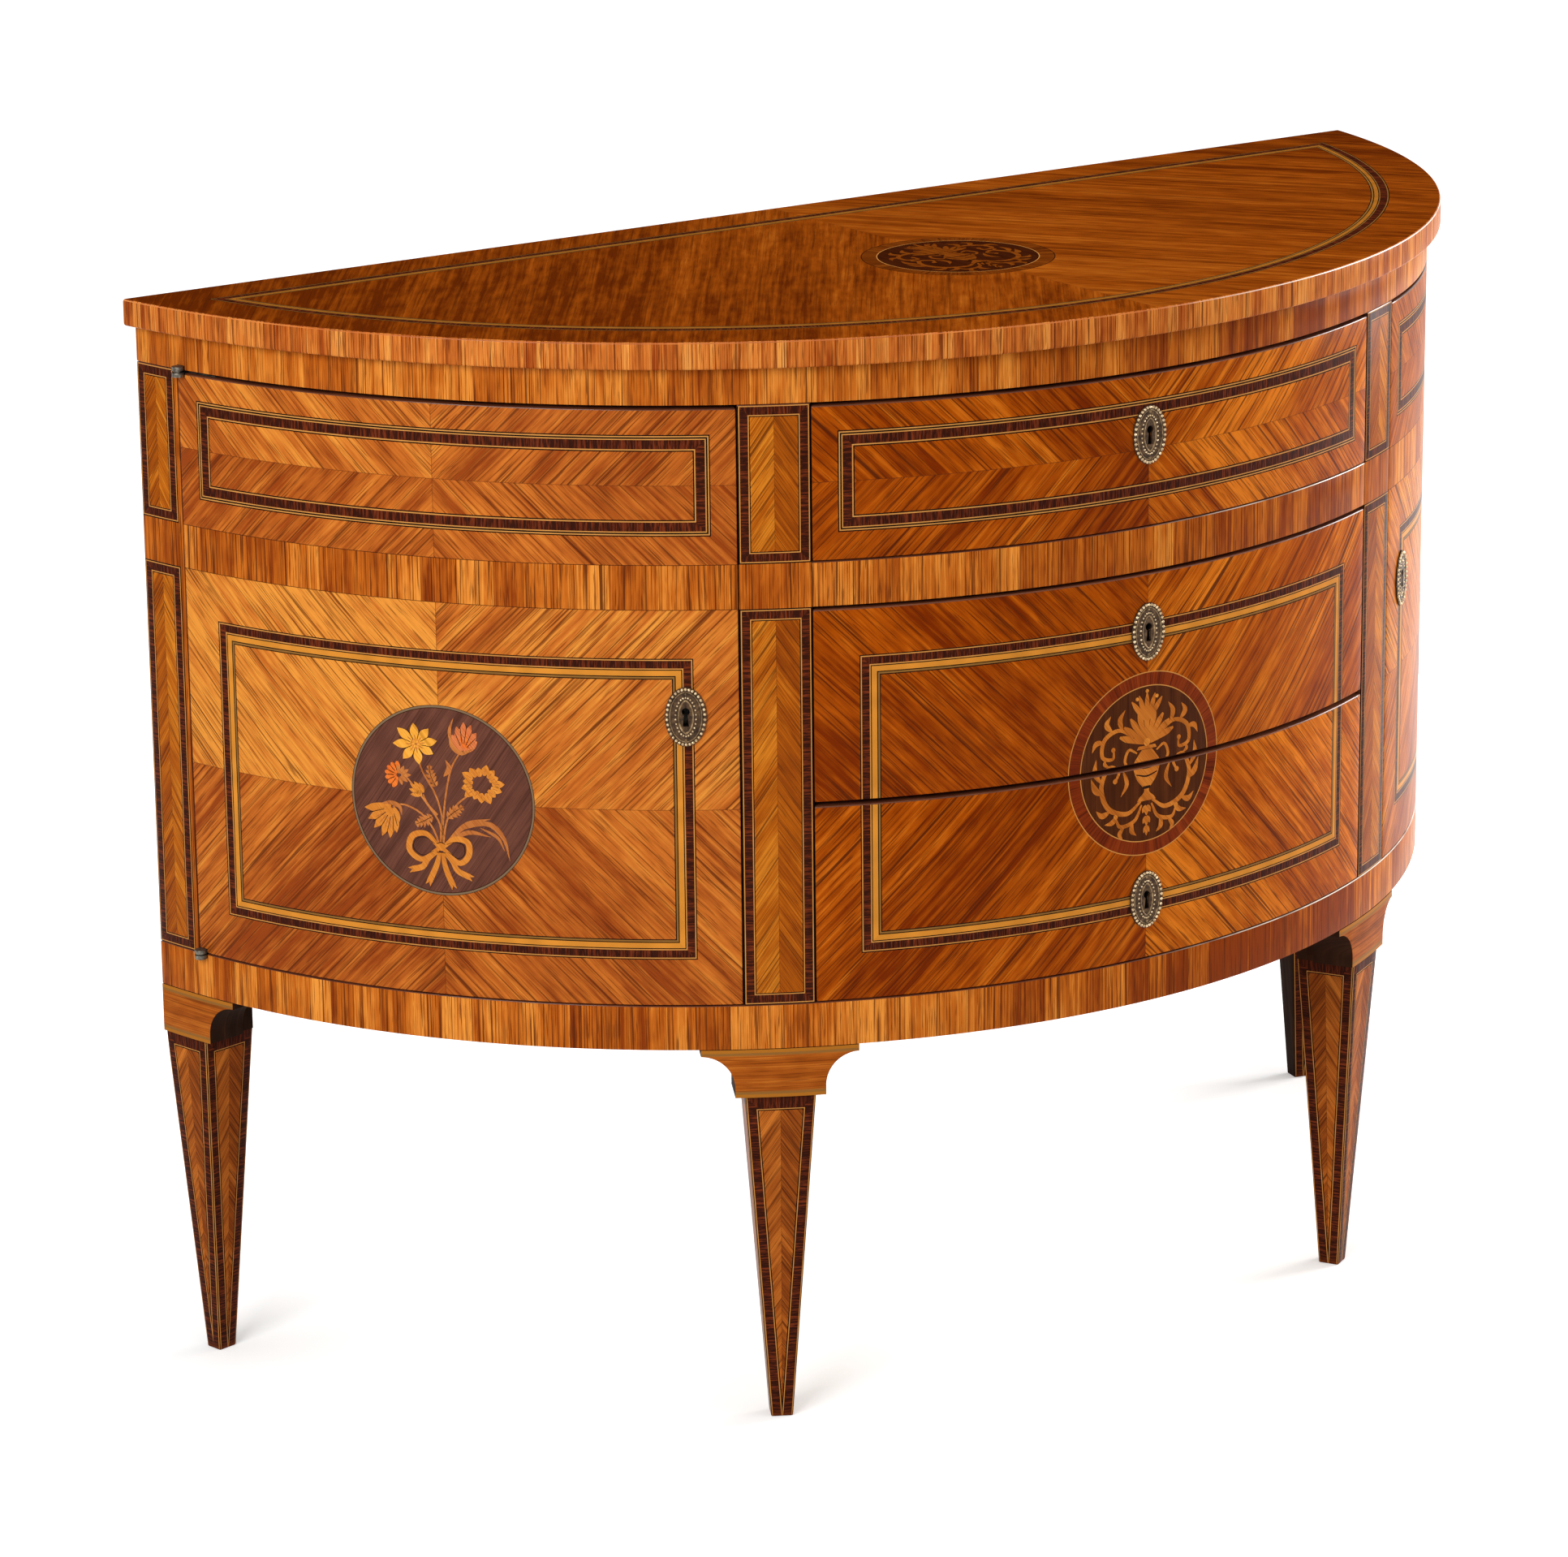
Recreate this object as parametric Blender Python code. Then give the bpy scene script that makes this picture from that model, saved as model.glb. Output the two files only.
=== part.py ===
"""A demilune chest of drawers: a half-moon case on four tapered legs, with three bow-fronted drawers between
two curved doors. Metres, +Z up, front towards -Y, origin on the floor under the middle of the whole piece."""

from math import acos, asin, ceil, cos, floor, pi, radians, sin, sqrt, tau

import bmesh
import bpy
from mathutils import Matrix, Vector

# Heights, stacked from the floor up
LEG_HEIGHT = 0.282
BRACKET_HEIGHT = 0.041
BASE_RAIL_HEIGHT = 0.037
LOWER_DRAWER_HEIGHT = 0.165
MIDDLE_DRAWER_HEIGHT = 0.160
MID_RAIL_HEIGHT = 0.036
UPPER_DRAWER_HEIGHT = 0.127
FRIEZE_HEIGHT = 0.030
TOP_THICKNESS = 0.022

# Plan: the face is an arc whose centre lies behind the straight back
BODY_RADIUS = 0.630
CENTRE_SETBACK = 0.107
TOP_OVERHANG = 0.011
TOP_ARRIS = 0.0025

# Widths along the face; each door takes what the others leave
DRAWER_OPENING_WIDTH = 0.583
FRONT_STILE_WIDTH = 0.057
BACK_STILE_WIDTH = 0.048

# Board thicknesses
FRAME_THICKNESS = 0.026
DRAWER_FRONT_THICKNESS = 0.022
DOOR_THICKNESS = 0.020
BACK_THICKNESS = 0.012
BOTTOM_THICKNESS = 0.018
PARTITION_THICKNESS = 0.018
DUST_BOARD_THICKNESS = 0.010
SHELF_THICKNESS = 0.016
SHELF_RISE = 0.215
SHELF_SETBACK = 0.004

# Clearances
SEAT_GAP = 0.0003
BACK_PANEL_GAP = 0.0008
FRONT_TOP_GAP = 0.0015
FRONT_BOTTOM_GAP = 0.0009
FRONT_SIDE_GAP = 0.0010
RUNNING_GAP = 0.0005
DRAWER_END_GAP = 0.006
DUST_BOARD_SETBACK = 0.004

# Drawer boxes
SIDE_THICKNESS = 0.012
SIDE_DROP = 0.020
DRAWER_BACK_THICKNESS = 0.010
DRAWER_BACK_DROP = 0.005
DRAWER_BOTTOM_THICKNESS = 0.006
DRAWER_BOTTOM_RISE = 0.006

# Legs, their feet and the brackets over them
FRONT_LEG_WIDTH = 0.057
BACK_LEG_WIDTH = 0.050
LEG_DEPTH = 0.052
FRONT_FOOT_WIDTH = 0.018
BACK_FOOT_WIDTH = 0.016
FOOT_DEPTH = 0.018
LEG_SETBACK = 0.003
BRACKET_THICKNESS = 0.036
BRACKET_LEDGE = 0.008
BRACKET_COVE = 0.027
BRACKET_COVE_RISE = 0.008

# Keyholes, their oval plates and the locks behind them
UPPER_KEYHOLE_DROP = 0.052
PANEL_KEYHOLE_INSET = 0.0505
DOOR_KEYHOLE_DROP = 0.249
DOOR_KEYHOLE_INSET = 0.043
KEYHOLE_RADIUS = 0.0027
KEYHOLE_SLOT_WIDTH = 0.0028
KEYHOLE_SLOT_LENGTH = 0.0090
ESCUTCHEON_WIDTH = 0.033
ESCUTCHEON_HEIGHT = 0.048
ESCUTCHEON_THICKNESS = 0.0016
ESCUTCHEON_RIM = 0.0040
ESCUTCHEON_BOSS_RISE = 0.0010
LOCK_WIDTH = 0.056
LOCK_HEIGHT = 0.044
LOCK_LET_IN = 0.011
LOCK_STAND = 0.003

# Knife hinges at the back corners of the doors
HINGE_PLATE_THICKNESS = 0.0035
HINGE_EYE_RADIUS = 0.0050
HINGE_EYE_PROUD = 0.0035
HINGE_EYE_INSET = 0.0045
HINGE_NECK_HALF_WIDTH = 0.0040
HINGE_TONGUE_START = 0.0050
HINGE_TONGUE_END = 0.0130
HINGE_TONGUE_LENGTH = 0.034
HINGE_PIN_RADIUS = 0.0015
HINGE_PIN_CLEARANCE = 0.0003

# Fineness of the round shapes, and how far cutters run past what they cut
ARC_STEP = radians(3.0)
OVAL_SEGMENTS = 24
ROUND_SEGMENTS = 12
COVE_SEGMENTS = 6
OVERRUN = 0.010

# Levels
CASE_BOTTOM_Z = LEG_HEIGHT + BRACKET_HEIGHT
OPENING_BOTTOM_Z = CASE_BOTTOM_Z + BASE_RAIL_HEIGHT
DRAWER_JOINT_Z = OPENING_BOTTOM_Z + LOWER_DRAWER_HEIGHT
MID_RAIL_BOTTOM_Z = DRAWER_JOINT_Z + MIDDLE_DRAWER_HEIGHT
MID_RAIL_TOP_Z = MID_RAIL_BOTTOM_Z + MID_RAIL_HEIGHT
FRIEZE_BOTTOM_Z = MID_RAIL_TOP_Z + UPPER_DRAWER_HEIGHT
TOP_BOTTOM_Z = FRIEZE_BOTTOM_Z + FRIEZE_HEIGHT
TOP_Z = TOP_BOTTOM_Z + TOP_THICKNESS

# Places in plan
TOP_RADIUS = BODY_RADIUS + TOP_OVERHANG
FRAME_INNER_RADIUS = BODY_RADIUS - FRAME_THICKNESS
BACK_Y = (TOP_RADIUS - CENTRE_SETBACK) / 2
CENTRE_Y = BACK_Y + CENTRE_SETBACK
INSIDE_BACK_Y = BACK_Y - BACK_THICKNESS
DRAWER_ANGLE = DRAWER_OPENING_WIDTH / 2 / BODY_RADIUS
STILE_ANGLE = DRAWER_ANGLE + FRONT_STILE_WIDTH / BODY_RADIUS
BACK_ANGLE = acos(CENTRE_SETBACK / BODY_RADIUS)
DOOR_ANGLE = BACK_ANGLE - BACK_STILE_WIDTH / BODY_RADIUS
SIDE_GAP_ANGLE = FRONT_SIDE_GAP / BODY_RADIUS
BAY_HALF_WIDTH = FRAME_INNER_RADIUS * sin(DRAWER_ANGLE)
SIDES = (("left", -1), ("right", 1))


def clear_scene():
    for obj in list(bpy.data.objects):
        bpy.data.objects.remove(obj)


def new_material(name, colour, roughness, metallic=0.0):
    material = bpy.data.materials.new(name)
    material.use_nodes = True
    shader = material.node_tree.nodes["Principled BSDF"]
    shader.inputs["Base Color"].default_value = (*colour, 1.0)
    shader.inputs["Roughness"].default_value = roughness
    shader.inputs["Metallic"].default_value = metallic
    return material


def make_materials():
    return {
        "veneer": new_material("veneer", (0.50, 0.20, 0.045), 0.25),
        "crossbanding": new_material("crossbanding", (0.56, 0.25, 0.065), 0.25),
        "top_veneer": new_material("top_veneer", (0.30, 0.11, 0.03), 0.22),
        "leg_veneer": new_material("leg_veneer", (0.36, 0.14, 0.04), 0.30),
        "pine": new_material("pine", (0.52, 0.36, 0.19), 0.70),
        "aged_brass": new_material("aged_brass", (0.28, 0.22, 0.14), 0.42, 0.9),
        "iron": new_material("iron", (0.10, 0.09, 0.08), 0.55, 0.9),
    }


def plan_point(radius, angle):
    """A point in plan at a radius from the arc's centre; angle 0 is the front, positive to the right."""
    return Vector((radius * sin(angle), CENTRE_Y - radius * cos(angle)))


def plan_arc(radius, start, stop):
    """Points from start to stop, those between on a grid that all arcs share, so that facets line up."""
    low, high = min(start, stop), max(start, stop)
    margin = ARC_STEP / 4
    first = ceil((low + margin) / ARC_STEP)
    last = floor((high - margin) / ARC_STEP)
    angles = [low] + [step * ARC_STEP for step in range(first, last + 1)] + [high]
    if start > stop:
        angles.reverse()
    return [plan_point(radius, angle) for angle in angles]


def angle_at_y(radius, y):
    """The angle at which the circle of this radius reaches a plane parallel to the back."""
    return acos((CENTRE_Y - y) / radius)


def angle_at_x(radius, x):
    return asin(x / radius)


def new_object(name, mesh, material):
    obj = bpy.data.objects.new(name, mesh)
    bpy.context.scene.collection.objects.link(obj)
    if material is not None:
        mesh.materials.append(material)
    return obj


def mesh_from(name, bm):
    bmesh.ops.recalc_face_normals(bm, faces=bm.faces)
    mesh = bpy.data.meshes.new(name)
    bm.to_mesh(mesh)
    bm.free()
    return mesh


def prism(name, outline, low, high, material=None):
    """A flat outline in plan, extruded upwards."""
    bm = bmesh.new()
    face = bm.faces.new([bm.verts.new((x, y, low)) for x, y in outline])
    grown = bmesh.ops.extrude_face_region(bm, geom=[face])
    verts = [item for item in grown["geom"] if isinstance(item, bmesh.types.BMVert)]
    bmesh.ops.translate(bm, vec=(0, 0, high - low), verts=verts)
    return new_object(name, mesh_from(name, bm), material)


def front_prism(name, outline, near, far, material=None):
    """An outline in x and z, extruded along y from near (the front) to far."""
    obj = prism(name, outline, -far, -near, material)
    obj.data.transform(Matrix.Rotation(pi / 2, 4, "X"))
    return obj


def lofted(name, rings, material):
    """A solid through rings of matching points, closed at both ends."""
    bm = bmesh.new()
    loops = [[bm.verts.new(point) for point in ring] for ring in rings]
    for lower, upper in zip(loops, loops[1:]):
        for i in range(len(lower)):
            bm.faces.new((lower[i - 1], lower[i], upper[i], upper[i - 1]))
    bm.faces.new(loops[0])
    bm.faces.new(loops[-1])
    return new_object(name, mesh_from(name, bm), material)


def shade_round(obj):
    obj.data.shade_smooth()
    obj.data.set_sharp_from_angle(angle=radians(30))


def curved_board(name, inner, outer, left, right, low, high, material=None):
    """A board bent to the case's arc. An end given as None stops at the plane of the back."""
    ends = []
    for radius in (outer, inner):
        at_back = angle_at_y(radius, BACK_Y)
        ends.append((-at_back if left is None else left, at_back if right is None else right))
    outline = plan_arc(outer, *ends[0]) + plan_arc(inner, *reversed(ends[1]))
    obj = prism(name, outline, low, high, material)
    shade_round(obj)
    return obj


def cutter(obj):
    obj.hide_render = True
    obj.display_type = "WIRE"
    return obj


def add_boolean(obj, other, operation):
    modifier = obj.modifiers.new(other.name, "BOOLEAN")
    modifier.operation = operation
    modifier.solver = "EXACT"
    modifier.object = cutter(other)


def place_on_face(obj, angle, height):
    """Puts an object modelled at the origin, facing -Y, on the case's face."""
    obj.location = (*plan_point(BODY_RADIUS, angle), height)
    obj.rotation_euler = (0, 0, angle)


def empty_at(name, location):
    empty = bpy.data.objects.new(name, None)
    bpy.context.scene.collection.objects.link(empty)
    empty.location = location
    return empty


def hang_on(parent, children):
    bpy.context.view_layer.update()
    for child in children:
        child.parent = parent
        child.matrix_parent_inverse = parent.matrix_world.inverted()


def oval(width, height):
    turns = [tau * i / OVAL_SEGMENTS for i in range(OVAL_SEGMENTS)]
    return [(width / 2 * cos(turn), height / 2 * sin(turn)) for turn in turns]


def disc(radius, centre=(0, 0)):
    turns = [tau * i / ROUND_SEGMENTS for i in range(ROUND_SEGMENTS)]
    return [(centre[0] + radius * cos(turn), centre[1] + radius * sin(turn)) for turn in turns]


def keyhole_outline():
    """A round hole with a slot below it."""
    half = KEYHOLE_SLOT_WIDTH / 2
    opening = acos(half / KEYHOLE_RADIUS)
    sweep = pi + 2 * opening
    arc = [-opening + sweep * i / ROUND_SEGMENTS for i in range(ROUND_SEGMENTS + 1)]
    points = [(KEYHOLE_RADIUS * cos(a), KEYHOLE_RADIUS * sin(a)) for a in arc]
    return points + [(-half, -KEYHOLE_SLOT_LENGTH), (half, -KEYHOLE_SLOT_LENGTH)]


def make_case(materials):
    """The fixed woodwork: top, rails, stiles, boards and partitions."""
    back_angle = angle_at_y(TOP_RADIUS, BACK_Y)
    top = prism("top_panel", plan_arc(TOP_RADIUS, -back_angle, back_angle), TOP_BOTTOM_Z, TOP_Z,
                materials["top_veneer"])
    bevel = top.modifiers.new("arris", "BEVEL")
    bevel.width = TOP_ARRIS
    bevel.segments = 2
    bevel.limit_method = "ANGLE"
    bevel.angle_limit = radians(60)
    shade_round(top)

    banding = materials["crossbanding"]
    curved_board("frieze_rail", FRAME_INNER_RADIUS, BODY_RADIUS, None, None,
                 FRIEZE_BOTTOM_Z, TOP_BOTTOM_Z - SEAT_GAP, banding)
    curved_board("base_rail", FRAME_INNER_RADIUS, BODY_RADIUS, None, None,
                 CASE_BOTTOM_Z, OPENING_BOTTOM_Z, banding)
    joint_angle = SEAT_GAP / BODY_RADIUS
    curved_board("mid_rail", FRAME_INNER_RADIUS, BODY_RADIUS, joint_angle - DRAWER_ANGLE,
                 DRAWER_ANGLE - joint_angle, MID_RAIL_BOTTOM_Z, MID_RAIL_TOP_Z, banding)

    stile_low = OPENING_BOTTOM_Z + SEAT_GAP
    stile_high = FRIEZE_BOTTOM_Z - SEAT_GAP
    veneer = materials["veneer"]
    curved_board("front_left_stile", FRAME_INNER_RADIUS, BODY_RADIUS, -STILE_ANGLE, -DRAWER_ANGLE,
                 stile_low, stile_high, veneer)
    curved_board("front_right_stile", FRAME_INNER_RADIUS, BODY_RADIUS, DRAWER_ANGLE, STILE_ANGLE,
                 stile_low, stile_high, veneer)
    curved_board("back_left_stile", FRAME_INNER_RADIUS, BODY_RADIUS, None, -DOOR_ANGLE,
                 stile_low, stile_high, veneer)
    curved_board("back_right_stile", FRAME_INNER_RADIUS, BODY_RADIUS, DOOR_ANGLE, None,
                 stile_low, stile_high, veneer)

    pine = materials["pine"]
    half = sqrt(FRAME_INNER_RADIUS ** 2 - (CENTRE_Y - INSIDE_BACK_Y) ** 2) - BACK_PANEL_GAP
    back_outline = [(-half, INSIDE_BACK_Y), (half, INSIDE_BACK_Y), (half, BACK_Y), (-half, BACK_Y)]
    prism("back_panel", back_outline, CASE_BOTTOM_Z, TOP_BOTTOM_Z - SEAT_GAP, pine)

    floor_radius = FRAME_INNER_RADIUS - SEAT_GAP
    floor_y = INSIDE_BACK_Y - SEAT_GAP
    floor_angle = angle_at_y(floor_radius, floor_y)
    prism("bottom_board", plan_arc(floor_radius, -floor_angle, floor_angle),
          OPENING_BOTTOM_Z - SEAT_GAP - BOTTOM_THICKNESS, OPENING_BOTTOM_Z - SEAT_GAP, pine)

    for side, sign in SIDES:
        near, far = BAY_HALF_WIDTH, BAY_HALF_WIDTH + PARTITION_THICKNESS
        near_angle, far_angle = angle_at_x(floor_radius, near), angle_at_x(floor_radius, far)
        front = plan_arc(floor_radius, sign * near_angle, sign * far_angle)
        prism(f"{side}_partition", front + [(sign * far, floor_y), (sign * near, floor_y)],
              OPENING_BOTTOM_Z, TOP_BOTTOM_Z - SEAT_GAP, pine)

        shelf_radius = FRAME_INNER_RADIUS - SHELF_SETBACK
        shelf_x = far + SEAT_GAP
        shelf_z = OPENING_BOTTOM_Z + SHELF_RISE
        rim = plan_arc(shelf_radius, sign * angle_at_x(shelf_radius, shelf_x),
                       sign * angle_at_y(shelf_radius, floor_y))
        prism(f"{side}_shelf", rim + [(sign * shelf_x, floor_y)], shelf_z, shelf_z + SHELF_THICKNESS, pine)

    board_x = BAY_HALF_WIDTH - SEAT_GAP
    boards = (("upper_dust_board", floor_radius, MID_RAIL_TOP_Z),
              ("lower_dust_board", BODY_RADIUS - DRAWER_FRONT_THICKNESS - DUST_BOARD_SETBACK - SEAT_GAP,
               DRAWER_JOINT_Z))
    for name, radius, high in boards:
        reach = angle_at_x(radius, board_x)
        prism(name, plan_arc(radius, -reach, reach) + [(board_x, floor_y), (-board_x, floor_y)],
              high - DUST_BOARD_THICKNESS, high, pine)


def make_bracket(name, angle, sign, at_back, half_width, material):
    """A curved facing over a leg, with a cove cut in each free end. At the back it stops at the wall."""
    reach = (half_width + BRACKET_LEDGE + BRACKET_COVE) / BODY_RADIUS
    low, high = LEG_HEIGHT + SEAT_GAP, CASE_BOTTOM_Z - SEAT_GAP
    left, right = angle - reach - ARC_STEP, angle + reach + ARC_STEP
    if at_back:
        left, right = (None, right) if sign < 0 else (left, None)
    inner = BODY_RADIUS - BRACKET_THICKNESS
    bracket = curved_board(name, inner, BODY_RADIUS, left, right, low, high, material)

    foot_x = half_width + BRACKET_LEDGE
    head_x = foot_x + BRACKET_COVE
    cove_z = low + BRACKET_COVE_RISE
    cove = [(head_x - BRACKET_COVE * cos(pi / 2 * i / COVE_SEGMENTS),
             cove_z + BRACKET_COVE * sin(pi / 2 * i / COVE_SEGMENTS)) for i in range(COVE_SEGMENTS + 1)]
    right_edge = [(foot_x, low - OVERRUN)] + cove + [(head_x, high + OVERRUN)]
    left_edge = [(-x, z) for x, z in reversed(right_edge)]
    if at_back:
        past = foot_x + LEG_DEPTH
        if sign < 0:
            left_edge = [(-past, high + OVERRUN), (-past, low - OVERRUN)]
        else:
            right_edge = [(past, low - OVERRUN), (past, high + OVERRUN)]
    profile = front_prism(f"{name}_profile", right_edge + left_edge, -LEG_DEPTH, LEG_DEPTH)
    place_on_face(profile, angle, 0)
    add_boolean(bracket, profile, "INTERSECT")


def make_leg(name, angle, width, foot_width, cutters, material):
    """A tapered leg with a block on top that the bracket is let into."""
    middle_y = LEG_SETBACK + LEG_DEPTH / 2
    sections = ((0, foot_width, FOOT_DEPTH), (LEG_HEIGHT, width, LEG_DEPTH),
                (CASE_BOTTOM_Z - SEAT_GAP, width, LEG_DEPTH))
    corners = ((-1, -1), (1, -1), (1, 1), (-1, 1))
    rings = [[(i * across / 2, middle_y + j * deep / 2, z) for i, j in corners]
             for z, across, deep in sections]
    leg = lofted(name, rings, material)
    place_on_face(leg, angle, 0)
    for each in cutters:
        add_boolean(leg, each, "DIFFERENCE")


def make_legs(materials):
    past_wall = BACK_ANGLE + ARC_STEP
    bracket_space = curved_board("bracket_space", BODY_RADIUS - BRACKET_THICKNESS - SEAT_GAP,
                                 BODY_RADIUS + OVERRUN, -past_wall, past_wall,
                                 LEG_HEIGHT, CASE_BOTTOM_Z + OVERRUN)
    reach = BODY_RADIUS + OVERRUN
    far_y = BACK_Y + LEG_DEPTH
    behind = [(-reach, BACK_Y), (reach, BACK_Y), (reach, far_y), (-reach, far_y)]
    wall_space = prism("wall_space", behind, -OVERRUN, CASE_BOTTOM_Z + OVERRUN)

    front_angle = (DRAWER_ANGLE + STILE_ANGLE) / 2
    back_angle = (DOOR_ANGLE + BACK_ANGLE) / 2
    for side, sign in SIDES:
        make_leg(f"front_{side}_leg", sign * front_angle, FRONT_LEG_WIDTH, FRONT_FOOT_WIDTH,
                 [bracket_space], materials["leg_veneer"])
        make_leg(f"back_{side}_leg", sign * back_angle, BACK_LEG_WIDTH, BACK_FOOT_WIDTH,
                 [bracket_space, wall_space], materials["leg_veneer"])
        make_bracket(f"front_{side}_bracket", sign * front_angle, sign, False, FRONT_LEG_WIDTH / 2,
                     materials["crossbanding"])
        make_bracket(f"back_{side}_bracket", sign * back_angle, sign, True, BACK_LEG_WIDTH / 2,
                     materials["crossbanding"])


def make_escutcheon(name, angle, height, material):
    """An oval plate with a raised middle, pierced by the keyhole."""
    inner_width, inner_height = ESCUTCHEON_WIDTH - 2 * ESCUTCHEON_RIM, ESCUTCHEON_HEIGHT - 2 * ESCUTCHEON_RIM
    plate_rise = SEAT_GAP + ESCUTCHEON_THICKNESS
    sections = ((SEAT_GAP, ESCUTCHEON_WIDTH, ESCUTCHEON_HEIGHT),
                (plate_rise, ESCUTCHEON_WIDTH, ESCUTCHEON_HEIGHT),
                (plate_rise, inner_width, inner_height),
                (plate_rise + ESCUTCHEON_BOSS_RISE, inner_width, inner_height))
    rings = [[(x, -rise, z) for x, z in oval(*size)] for rise, *size in sections]
    plate = lofted(name, rings, material)
    hole = front_prism(f"{name}_keyhole", keyhole_outline(), -OVERRUN, OVERRUN)
    for obj in (plate, hole):
        place_on_face(obj, angle, height)
    add_boolean(plate, hole, "DIFFERENCE")
    return plate


def lock_box(name, thickness, grow, material=None):
    """The lock's case, let into the inner side of a board of this thickness."""
    x, z = LOCK_WIDTH / 2 + grow, LOCK_HEIGHT / 2 + grow
    near = thickness - LOCK_LET_IN - grow
    far = thickness + (LOCK_STAND if grow == 0 else OVERRUN)
    return front_prism(name, [(-x, -z), (x, -z), (x, z), (-x, z)], near, far, material)


def fit_lock(board, name, angle, height, thickness, materials):
    """Cuts a board for a lock and its keyhole, and returns the lock and the plate."""
    recess = lock_box(f"{name}_lock_recess", thickness, SEAT_GAP)
    hole = front_prism(f"{name}_front_keyhole", keyhole_outline(), -OVERRUN, thickness)
    lock = lock_box(f"{name}_lock", thickness, 0, materials["iron"])
    for obj in (recess, hole, lock):
        place_on_face(obj, angle, height)
    add_boolean(board, recess, "DIFFERENCE")
    add_boolean(board, hole, "DIFFERENCE")
    return [lock, make_escutcheon(f"{name}_escutcheon", angle, height, materials["aged_brass"])]


def make_drawer(name, low, high, keyhole_z, materials):
    """A bow front with a straight-sided box behind it, running out towards -Y."""
    inner = BODY_RADIUS - DRAWER_FRONT_THICKNESS
    edge = DRAWER_ANGLE - SIDE_GAP_ANGLE
    front = curved_board(f"{name}_front", inner, BODY_RADIUS, -edge, edge,
                         low + FRONT_BOTTOM_GAP, high - FRONT_TOP_GAP, materials["veneer"])
    pieces = [front] + fit_lock(front, name, 0, keyhole_z, DRAWER_FRONT_THICKNESS, materials)

    pine = materials["pine"]
    end_y = INSIDE_BACK_Y - DRAWER_END_GAP
    outside = BAY_HALF_WIDTH - FRONT_SIDE_GAP
    inside = outside - SIDE_THICKNESS
    side_low = low + RUNNING_GAP
    side_high = side_low + (high - low) - SIDE_DROP
    join = inner - SEAT_GAP
    for side, sign in SIDES:
        front_edge = [plan_point(join, sign * angle_at_x(join, x)) for x in (outside, inside)]
        outline = front_edge + [(sign * inside, end_y), (sign * outside, end_y)]
        pieces.append(prism(f"{name}_{side}_side", outline, side_low, side_high, pine))

    fit = inside - SEAT_GAP
    bottom_low = side_low + DRAWER_BOTTOM_RISE
    bottom_high = bottom_low + DRAWER_BOTTOM_THICKNESS
    reach = angle_at_x(join, fit)
    outline = plan_arc(join, -reach, reach) + [(fit, end_y), (-fit, end_y)]
    pieces.append(prism(f"{name}_bottom", outline, bottom_low, bottom_high, pine))
    back_y = end_y - DRAWER_BACK_THICKNESS
    outline = [(-fit, back_y), (fit, back_y), (fit, end_y), (-fit, end_y)]
    pieces.append(prism(f"{name}_back", outline, bottom_high + SEAT_GAP, side_high - DRAWER_BACK_DROP, pine))

    slide = empty_at(f"{name}_slide", (0, CENTRE_Y - BODY_RADIUS, (low + high) / 2))
    hang_on(slide, pieces)


def hinge_outline(sign, grow=0.0):
    """A knife hinge's plate in plan: an eye in front of the face, a neck, and a tongue along the edge."""
    neck = HINGE_NECK_HALF_WIDTH + grow
    radius = HINGE_EYE_RADIUS + grow
    start = acos(neck / radius)
    sweep = pi + 2 * start
    eye = [start - sweep * i / ROUND_SEGMENTS for i in range(ROUND_SEGMENTS + 1)]
    points = [(radius * cos(a), radius * sin(a) - HINGE_EYE_PROUD) for a in eye]
    points += [(-neck, HINGE_TONGUE_END + grow), (HINGE_TONGUE_LENGTH + grow, HINGE_TONGUE_END + grow),
               (HINGE_TONGUE_LENGTH + grow, HINGE_TONGUE_START - grow), (neck, HINGE_TONGUE_START - grow)]
    return [(-sign * x, y) for x, y in points]


def make_hinge(name, angle, sign, door, rail, door_edge, rail_edge, materials):
    """One knife hinge. The rail's plate carries the pin, the door's plate turns on it."""
    up = 1 if rail_edge > door_edge else -1
    rail_far = rail_edge + up * HINGE_PLATE_THICKNESS
    door_far = door_edge - up * HINGE_PLATE_THICKNESS
    spans = {"rail": (rail_edge, rail_far, rail_edge - up * SEAT_GAP, rail_far + up * SEAT_GAP),
             "door": (door_edge, door_far, door_edge + up * SEAT_GAP, door_far - up * SEAT_GAP)}
    plates = {}
    for part, (near, far, clear_near, clear_far) in spans.items():
        plates[part] = prism(f"{name}_{part}_plate", hinge_outline(sign), min(near, far), max(near, far),
                             materials["aged_brass"])
        pocket = prism(f"{name}_{part}_pocket", hinge_outline(sign, SEAT_GAP),
                       min(clear_near, clear_far), max(clear_near, clear_far))
        for obj in (plates[part], pocket):
            place_on_face(obj, angle, 0)
        add_boolean(rail if part == "rail" else door, pocket, "DIFFERENCE")
    axis = (0, -HINGE_EYE_PROUD)
    pin_ends = (door_far, rail_edge + up * HINGE_PLATE_THICKNESS / 2)
    pin = prism(f"{name}_pin", disc(HINGE_PIN_RADIUS, axis), min(pin_ends), max(pin_ends))
    hole = prism(f"{name}_pin_hole", disc(HINGE_PIN_RADIUS + HINGE_PIN_CLEARANCE, axis),
                 min(door_far, door_edge) - OVERRUN, max(door_far, door_edge) + OVERRUN)
    for obj in (pin, hole):
        place_on_face(obj, angle, 0)
    add_boolean(plates["rail"], pin, "UNION")
    add_boolean(plates["door"], hole, "DIFFERENCE")
    return plates["door"]


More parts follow.
